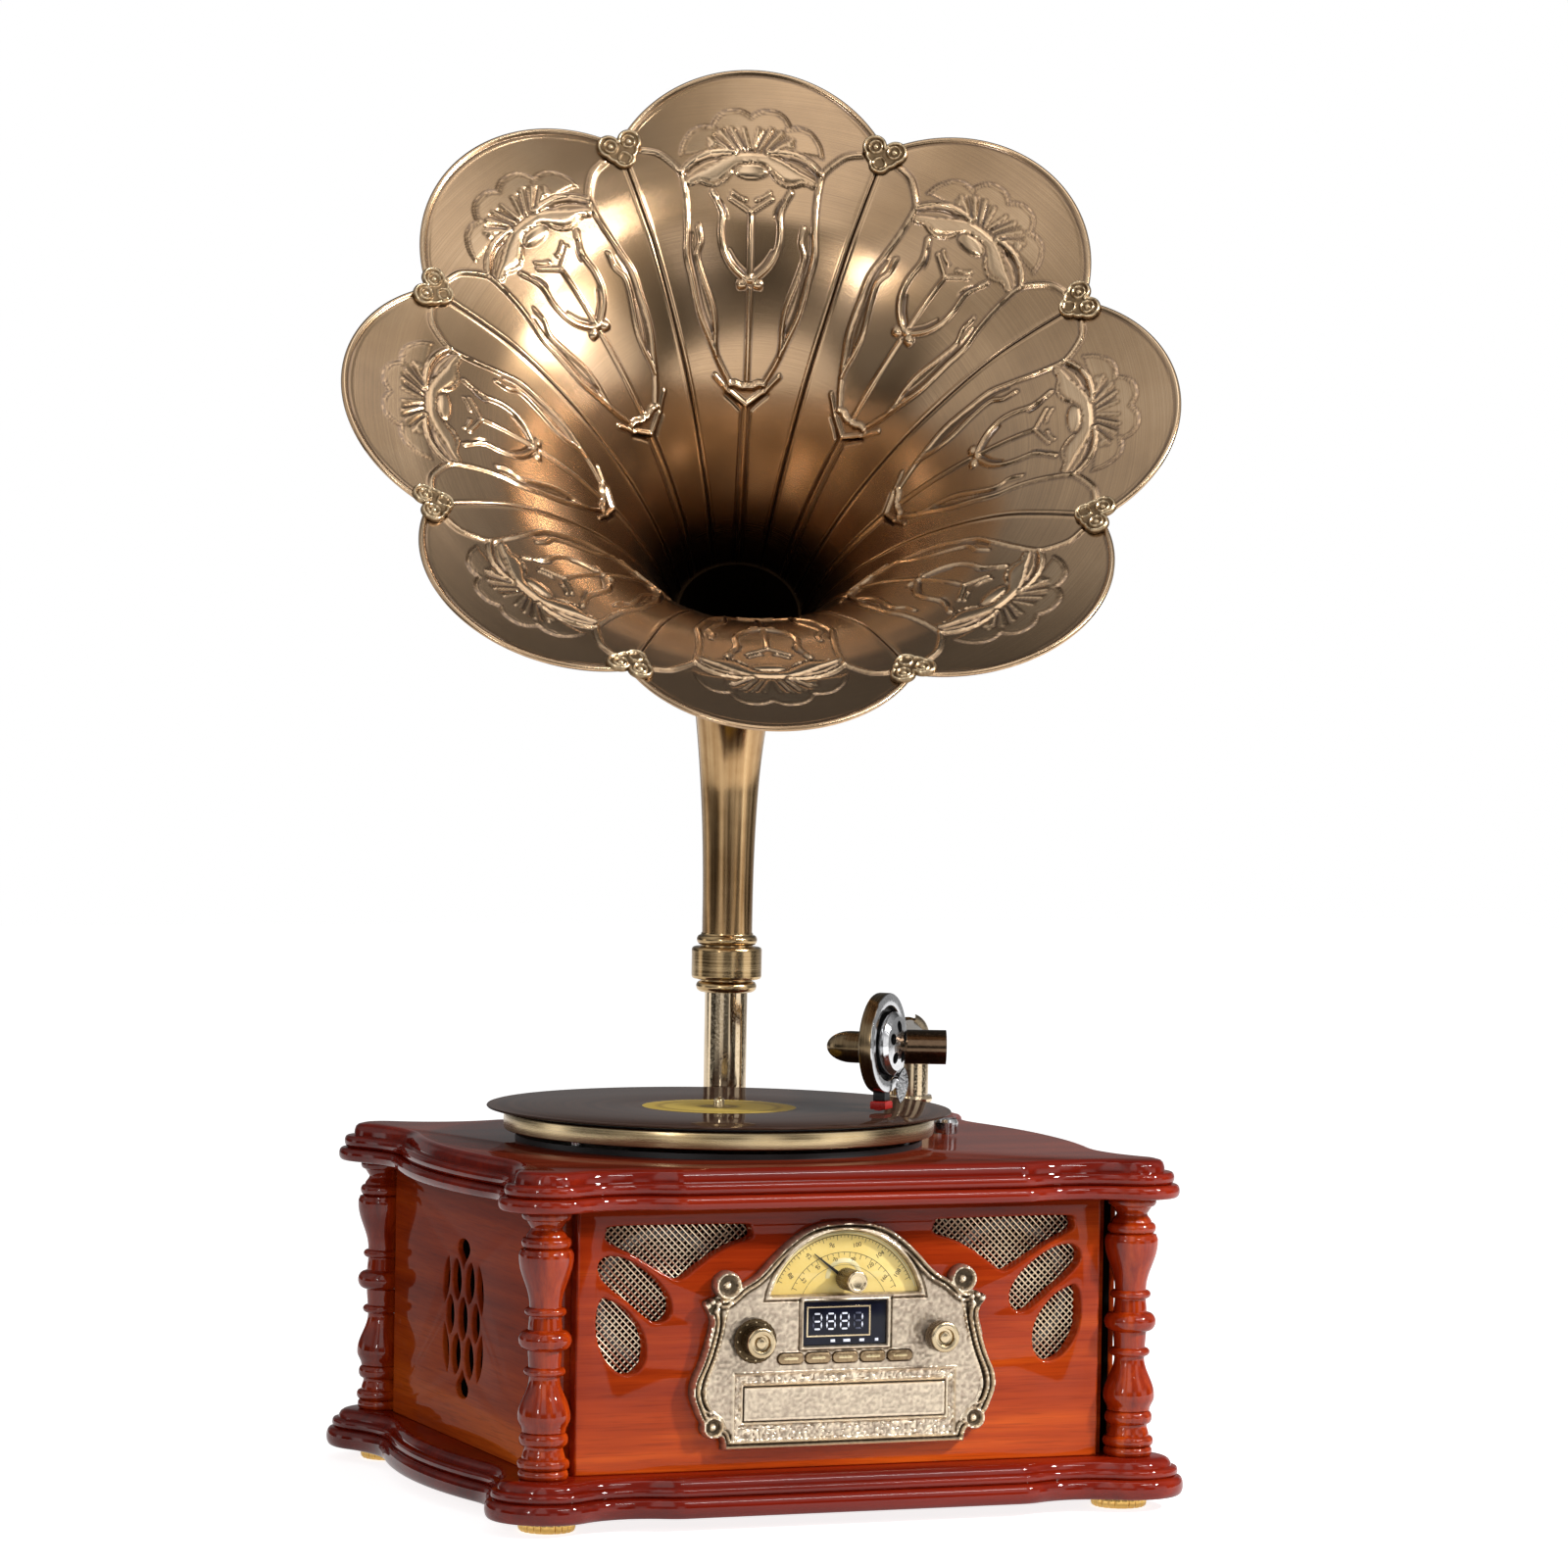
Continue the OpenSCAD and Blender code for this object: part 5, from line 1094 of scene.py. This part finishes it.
# x and z of a segment's middle in its digit, and 1 where it is upright
SEGMENTS = [(0, 9.6, 0), (0, 0, 0), (0, 4.8, 0), (-2.7, 7.2, 1), (2.7, 7.2, 1), (-2.7, 2.4, 1), (2.7, 2.4, 1)]
for k, shown in enumerate(((0, 1, 2, 4, 6), range(7), range(7), (4, 6))):  # 3, 8, 8 and 1
    for s, (dx, dz, upright) in enumerate(SEGMENTS):
        hx, hz = (0.55, 1.9) if upright else (2.0, 0.55)
        cx, cz = DIGIT_X + k * DIGIT_PITCH + dx, DIGIT_Z + dz
        bevelled = np.array([[-hx, 0], [0.5 - hx, hz], [hx - 0.5, hz], [hx, 0], [hx - 0.5, -hz], [0.5 - hx, -hz]])
        display.plate([bevelled + [cx, cz]], GLASS_TOP, 165.4, FRONT, 0.05, 1 if s in shown else 3, 0)
for cx, wide in ((-8.0, 3.0), (1.4, 4.6), (11.6, 3.2), (21.6, 2.2)):
    display.plate([rectangle(cx - wide / 2, cx + wide / 2, 111.7, 113.4)], GLASS_TOP, 165.3, FRONT, 0.05, 1, 0)
display.make("display_glass", "cabinet", [GLASS, LIT, KNOB, UNLIT], "display_glass", ("display_screen",), sharp=60)


# disc drawer: its front stands in the panel's frame, and the tray has a round well for a disc
def drawer_edge(x, y):
    return in_box(x, y, -67.5, 67.5, 64.4, 85.2)


def drawer_height(x, y):
    d = drawer_edge(x, y)
    rough = grain_noise(x, y, 1.5, 21)
    cast = Relief(4.4 + 0.35 * rough, 0.5 + 0.25 * rough)
    cast.ridge(np.abs(d - 0.7), 0.9, 4.9, 0.8)
    return cast.h - 0.4 * (d < 0.3), np.clip(cast.tone, 0, 1)


relief_plate("drawer_front", drawer_edge, drawer_height, (-68, 68, 63.9, 85.7), 0.8, T(0, -163.4, 0) @ FRONT,
             "disc_drawer", PANEL_BRASS, "pewter_brass")
tray = Parts()
tray_edge = rectangle(-65.5, 65.5, 20.4, 163.4)
forwards = np.diag([1, -1, 1, 1.0])
tray.plate([tray_edge[::-1], rectangle(-13, 13, 26, 80)], 66.8, 69.2, forwards, 0.3)
tray.plate([tray_edge, circle((0, 92), 61, 120)], 69.0, 75.8, forwards, 0.5)
tray.make("disc_tray", "disc_drawer", BLACK, "pewter_brass", ("cd_drawer",))

# ---------------------------------------------------------------- loudspeaker mesh
MESH = metal("mesh_brass", (232, 216, 190), (190, 168, 132), 0.3, 500.0)


def mesh_sheet(x0, x1, z0, z1, parts):
    """Two layers of crossing wires, clipped to a rectangle. A wire is a lozenge across."""
    pitch, half, thick = 4.5 / math.sqrt(2), 0.52, 0.3
    centre = np.array([(x0 + x1) / 2, (z0 + z1) / 2])
    reach = int(90 / pitch)
    for k, lean in enumerate((1, -1)):
        u, v = np.array([1, lean]) / math.sqrt(2), np.array([-lean, 1]) / math.sqrt(2)
        across = [(v * half, 0), (v * 0, thick), (-v * half, 0), (v * 0, -thick)]
        for n in range(-reach, reach + 1):
            c = centre + n * pitch * v
            crossings = np.sort([(np.array([x0, x1]) - c[0]) / u[0], (np.array([z0, z1]) - c[1]) / u[1]], axis=1)
            t0, t1 = crossings[:, 0].max(), crossings[:, 1].min()
            if t1 - t0 < 1.5:
                continue
            p = [[*(c + u * t + o), 148.3 + 0.35 * k + d] for t in (t0, t1) for o, d in across]
            parts.add(move(p, FRONT), [(0, 1, 5, 4), (1, 2, 6, 5), (2, 3, 7, 6), (3, 0, 4, 7),
                                       (3, 2, 1, 0), (4, 5, 6, 7)])


sheets = Parts()
for s in (-1, 1):
    for x0, x1, z0, z1 in ((74, 163.9, 91, 190), (56, 74.5, 165, 190)):
        mesh_sheet(*sorted((s * x0, s * x1)), z0, z1, sheets)
sheets.make("speaker_mesh", "cabinet", MESH, "mesh_brass", ("grilles",), sharp=20)
backing = Parts()
for s in (-1, 1):
    backing.block(*sorted((s * 60, s * 164)), 92, 189, 146.6, 147.6, FRONT, 0.2)
backing.make("speaker_cloth", "cabinet", CLOTH, "cone_paper")


# ---------------------------------------------------------------- clips on the horn
def clip_edge(x, y):
    y = np.abs(y)
    d = np.maximum(8 - np.hypot(x - 3.5, y - 7.2), 7.6 - np.hypot(x + 6.4, y))
    return np.maximum(d, 8.0 - np.hypot(x + 1.2, y - 3.6))


def clip_height(x, y):
    d, ay = clip_edge(x, y), np.abs(y)
    cast = Relief(np.full(x.shape, 1.7), np.full(x.shape, 0.26))
    ball = dome(((x - 3.2) ** 2 + (ay - 6.4) ** 2) / 4.0)
    cast.lift(1.7 + 1.6 * ball, 0.8 * ball)
    scroll = smooth([(-2.5, 0), (-4.6, 3.0), (-8, 4.2), (-10.6, 1.5)], 5)
    for distance, width, rise in ((np.abs(d - 1.3), 1.7, 1.7), (away(x, ay, scroll), 1.1, 1.5),
                                  (np.abs(np.hypot(x - 3.2, ay - 6.4) - 4.1), 1.25, 1.6)):
        c = cosine(distance, width)
        cast.lift(1.7 + rise * c, 0.85 * c)
    return cast.h - 0.5 * np.clip(1 - d / 0.6, 0, 1), cast.tone


CLIP = patina_brass("clip_brass", (52, 40, 28), (122, 100, 74), (172, 148, 116), (216, 196, 162), 0.3, 300.0)
on_seams = [turn("Z", 90 + (i + 0.5) * 45) @ T(225.1, 0, -0.8) @ turn("Y", -20) for i in range(8)]
relief_plate("rim_clips", clip_edge, clip_height, (-15, 13, -16, 16), 0.55, MOUTH, "horn", CLIP, "dark_brass",
             ("petal_clips",), on_seams)

# ---------------------------------------------------------------- turntable
TABLE = T(-22.3, 1.8, 0)
RECORD_TOP = 244.9
f = Finish("record_vinyl", Specular_IOR_Level=0.0, Coat_Weight=0.36, Coat_Roughness=0.05)
outwards = f.node("SeparateXYZ", 1, i0=f.node("UVMap"))
groove, wide = (f.node("TexNoise", 0, {"noise_dimensions": "1D"}, W=outwards, Scale=scale, Detail=2.0)
                for scale in (2400.0, 160.0))
f.colour(f.mix(f.ramp(wide, (0.4, 0.0), (0.6, 1.0)), rgb(60, 40, 31), rgb(74, 51, 40)))
f.rough(f.span(wide, 0.35, 0.65, 0.24, 0.4))
f.bump(groove, 0.35, 0.00012)
VINYL = f.material
f = Finish("record_label", Roughness=0.5)
paper = f.noise(700.0, 3, 0.6)
band = f.ramp(f.node("SeparateXYZ", 1, i0=f.node("UVMap")), (0.0, rgb(120, 96, 40)), (0.010, rgb(120, 96, 40)),
              (0.0115, rgb(206, 176, 70)), (0.034, rgb(214, 186, 84)), (0.035, rgb(150, 120, 50)),
              (0.036, rgb(206, 176, 70)), (0.05, rgb(212, 182, 78)))
f.colour(f.mix(f.times(paper, 0.3), band, rgb(180, 150, 60)))
f.bump(paper, 0.08, 0.0002)
LABEL = f.material
disc = Parts().lathe([(3.62, RECORD_TOP), (16, RECORD_TOP), (16.6, 244.84), (17.4, RECORD_TOP), (49.6, RECORD_TOP),
                      (50, 244.84)], TABLE, 160, 1)
disc.lathe([(50, 244.84), (57, 244.84), (57.6, RECORD_TOP), (147, RECORD_TOP), (147.4, 244.8), (148.6, 244.82),
            (149.4, RECORD_TOP), (150.4, 244.62), (150.8, 244.05), (150.4, 243.48), (149.4, 243.2), (3.62, 243.2),
            (3.62, RECORD_TOP)], TABLE, 160, 0)
disc.make("record_disc", "turntable", [VINYL, LABEL], "vinyl", ("record",))
wheel = [(0, 192.6), (3.5, 192.6), (3.5, 226.1), (12, 226.1), (12, 238.5), (57, 238.5), (57, 230.5), (60, 230.5),
         (60, 238.5), (136.2, 238.5), (136.2, 229.5), (138.2, 229.5), (138.9, 229.7), (139.2, 230.3),
         (139.2, 230.8), (139.4, 231.0), (139.65, 233), (139.7, 235.4), (139.65, 237.8), (139.4, 239.8),
         (139.2, 240.4), (138.8, 240.8), (138.2, 241), (3.5, 241), (3.5, 248.5), (3.2, 249.6), (2.4, 250.5),
         (1.2, 250.9), (0, 250.9)]
Parts().lathe(wheel, TABLE, 200).make("platter_wheel", "turntable", SATIN, "bright_brass", ("platter",), sharp=30)

# ---------------------------------------------------------------- tone arm
NEEDLE_X, NEEDLE_Y = 68, -55
SOUND = T(NEEDLE_X, NEEDLE_Y, 289.5) @ turn("Z", -43.4) @ turn("Y", 90)
box = Parts()
box.lathe([(0, -5), (29.6, -5), (30.6, -4.8), (31.6, -4.3), (32.2, -3.4), (32.4, -2.4), (32.4, 3.6), (32.3, 4.2)],
          SOUND, 128)
box.lathe([(32.3, 4.2), (31.9, 4.8), (31.2, 5), (25.4, 5), (24.6, 4.8), (24.1, 4.2)], SOUND, 128, 1)
box.lathe([(24.1, 4.2), (24, 3.8), (24, 1), (0, 1)], SOUND, 128, 2)
nose = [(10.3 * math.cos(a), -21 - 17 * math.sin(a)) for a in np.radians(np.arange(6, 91, 6))]
box.lathe([(0, -4), (10.3, -4), (10.3, -21)] + nose, SOUND @ T(3.5, 0, 0), 64)
box.make("sound_box", "tone_arm", [NICKEL, CHROME, BLACK], "arm_brass", ("soundbox",), sharp=35)
# black cups at the bottom of the rosette's five holes: painted shadow inside them
holes = Parts()
for i in range(5):
    holes.lathe([(0, 5.05), (3.72, 5.05), (3.72, 11.0), (3.6, 11.0), (3.6, 5.3), (0, 5.3)],
                SOUND @ turn("Z", 180 + i * 72) @ T(11, 0, 0), 32)
holes.make("rosette_shadow", "tone_arm", BLACK, "black_metal")
STYLUS = T(NEEDLE_X, NEEDLE_Y, RECORD_TOP) @ turn("Z", 46.6)
cart = Parts().block(-4.5, 4.5, -4, 4, 7, 14.6, STYLUS, 0.6, 1)
cart.block(-6.5, 6.5, -5.2, 5.2, 1.8, 7, STYLUS, 0.9, 0)
cart.block(-6.3, 1.0, -2.2, 2.2, 1.2, 2.4, STYLUS, 0.3, 0)
cart.tube(move([(-1.5, 0, 1.8), (-4.2, 0, 1.0), (-5.4, 0, 0.9)], STYLUS), 0.35, 10, 2)
cart.tube(move([(-5.3, 0, 1.1), (-5.3, 0, 0.4)], STYLUS), 0.25, 8, 2)
cart.lathe([(0, -2), (1.3, -1.7), (1.9, 0), (1.3, 1.7), (0, 2)], STYLUS @ T(8.2, 0, 4.6), 24, 2)
cart.make("pickup", "tone_arm", [RED, BLACK, CHROME], "stylus_red", ("cartridge",))

# ---------------------------------------------------------------- stage, light and camera
floor = bpy.data.meshes.new("floor")
floor.from_pydata([(-2.4, -1.9, 0), (2.4, -1.9, 0), (3.8, 6, 0), (-2.6, 6, 0)], [], [(0, 1, 2, 3)])
floor_object = bpy.data.objects.new("floor", floor)
bpy.context.scene.collection.objects.link(floor_object)
f = Finish("floor_paper", Base_Color=(0.8, 0.8, 0.8, 1), Roughness=0.9, Specular_IOR_Level=0.0)
path = f.tree.nodes.new("ShaderNodeLightPath").outputs
seen = f.math("MAXIMUM", f.math("MAXIMUM", path["Is Camera Ray"], path["Is Glossy Ray"]),
              path["Is Transmission Ray"])
glow = f.node("MixShader", i0=f.times(seen, 0.85), i1=f.node("Emission", Strength=0.0),
              i2=f.node("Emission", Color=(1, 1, 1, 1), Strength=1.0))
f.tree.links.new(f.node("AddShader", i0=f.shader.outputs[0], i1=glow), f.tree.nodes["Material Output"].inputs[0])
floor.materials.append(f.material)


class Sky(Finish):
    """The world's nodes. Mirrored rays see a studio, the camera sees plain white."""
    def __init__(self, world):
        world.use_nodes = True
        self.tree = world.node_tree
        self.tree.nodes.clear()


scene = bpy.context.scene
scene.world = bpy.data.worlds.new("studio")
sky = Sky(scene.world)
ray = sky.node("TexCoord", 0)
east, north, up = (sky.node("SeparateXYZ", k, i0=ray) for k in range(3))
around = sky.plus(sky.math("DIVIDE", sky.math("ARCTAN2", east, north), 2 * math.pi), 0.5)


def bands(*steps):
    """Stops of even bands with soft borders, from (end, brightness) pairs."""
    stops, start = [], 0.0
    for end, v in steps:
        stops += [(start + 0.006, v), (end - 0.006, v)]
        start = end
    return stops


# Brightness round the horizon from 0 to 1, with bright panels between dark ones, and above it.
walls = sky.ramp(around, *bands((0.012, 1.2), (0.091, 0.14), (0.143, 0.8), (0.215, 0.3), (0.306, 0.06),
                                (0.35, 1.5), (0.376, 0.2), (0.46, 0.08), (0.6, 0.34), (0.629, 1.0),
                                (0.743, 0.4), (0.821, 0.08), (0.902, 1.5), (0.97, 0.06), (1.0, 1.2)))
level = sky.ramp(sky.plus(sky.times(up, 0.5), 0.5), (0.26, 1.0), (0.31, 0.16), (0.43, 0.2), (0.452, 1.0))
walls = sky.mix(1.0, walls, level, "MULTIPLY")
ceiling = sky.ramp(around, (0.0, 0.25), (0.02, 0.32), (0.034, 1.6), (0.085, 1.7), (0.1, 0.4), (0.112, 0.4),
                   (0.125, 1.4), (0.15, 1.1), (0.17, 0.4), (0.24, 0.9), (0.36, 0.6), (0.46, 0.12), (0.66, 0.1),
                   (0.76, 0.5), (0.85, 0.3), (0.88, 0.6), (0.9, 1.7), (0.93, 1.5), (0.945, 0.35), (0.99, 0.22))
high = sky.span(up, 0.16, 0.3, 0.0, 1.0)
studio = sky.node("Background", Color=sky.mix(high, walls, ceiling), Strength=1.0)
soft, white = (sky.node("Background", Color=(1, 1, 1, 1), Strength=strength) for strength in (0.24, 1.0))
path = sky.tree.nodes.new("ShaderNodeLightPath").outputs
mirrored = sky.math("MAXIMUM", path["Is Glossy Ray"], path["Is Transmission Ray"])
room = sky.node("MixShader", i0=mirrored, i1=soft, i2=studio)
lit = sky.node("MixShader", i0=path["Is Camera Ray"], i1=room, i2=white)
sky.tree.links.new(lit, sky.tree.nodes.new("ShaderNodeOutputWorld").inputs[0])


def lamp(name, at, size_x, size_y, power):
    light = bpy.data.lights.new(name, "AREA")
    light.shape = "RECTANGLE"
    light.size, light.size_y, light.energy = size_x, size_y, power
    o = bpy.data.objects.new(name, light)
    o.location = at
    o.rotation_euler = (Vector((0, 0, 0.45)) - Vector(at)).to_track_quat("-Z", "Y").to_euler()
    scene.collection.objects.link(o)


lamp("key", (1.62, -1.3, 1.45), 0.18, 0.2, 46)
lamp("fill", (-2.4, -2.2, 1.1), 0.22, 0.6, 12)
lamp("strip", (1.15, -2.3, 2.1), 1.3, 0.15, 22)
lamp("top", (0.3, -0.6, 3.2), 1.6, 1.2, 8)

camera = bpy.data.cameras.new("camera")
camera.sensor_width, camera.sensor_fit = 36.0, "HORIZONTAL"
camera.lens, camera.shift_x, camera.shift_y = 137.463, 0.0170, 0.00427  # solved from the photograph
camera_object = bpy.data.objects.new("camera", camera)
pose = np.eye(4)
pose[:3, :3] = np.array([(0.930979, -0.364684, 0.016880), (-0.003066, 0.038425, 0.999257),
                         (-0.365061, -0.930338, 0.034655)]).T
pose[:3, 3] = (np.array([-1418.08, -3613.89, 584.62]) + SHIFT) / 1000
camera_object.matrix_world = Matrix(pose.tolist())
scene.collection.objects.link(camera_object)
scene.camera = camera_object
scene.view_settings.view_transform = "Standard"
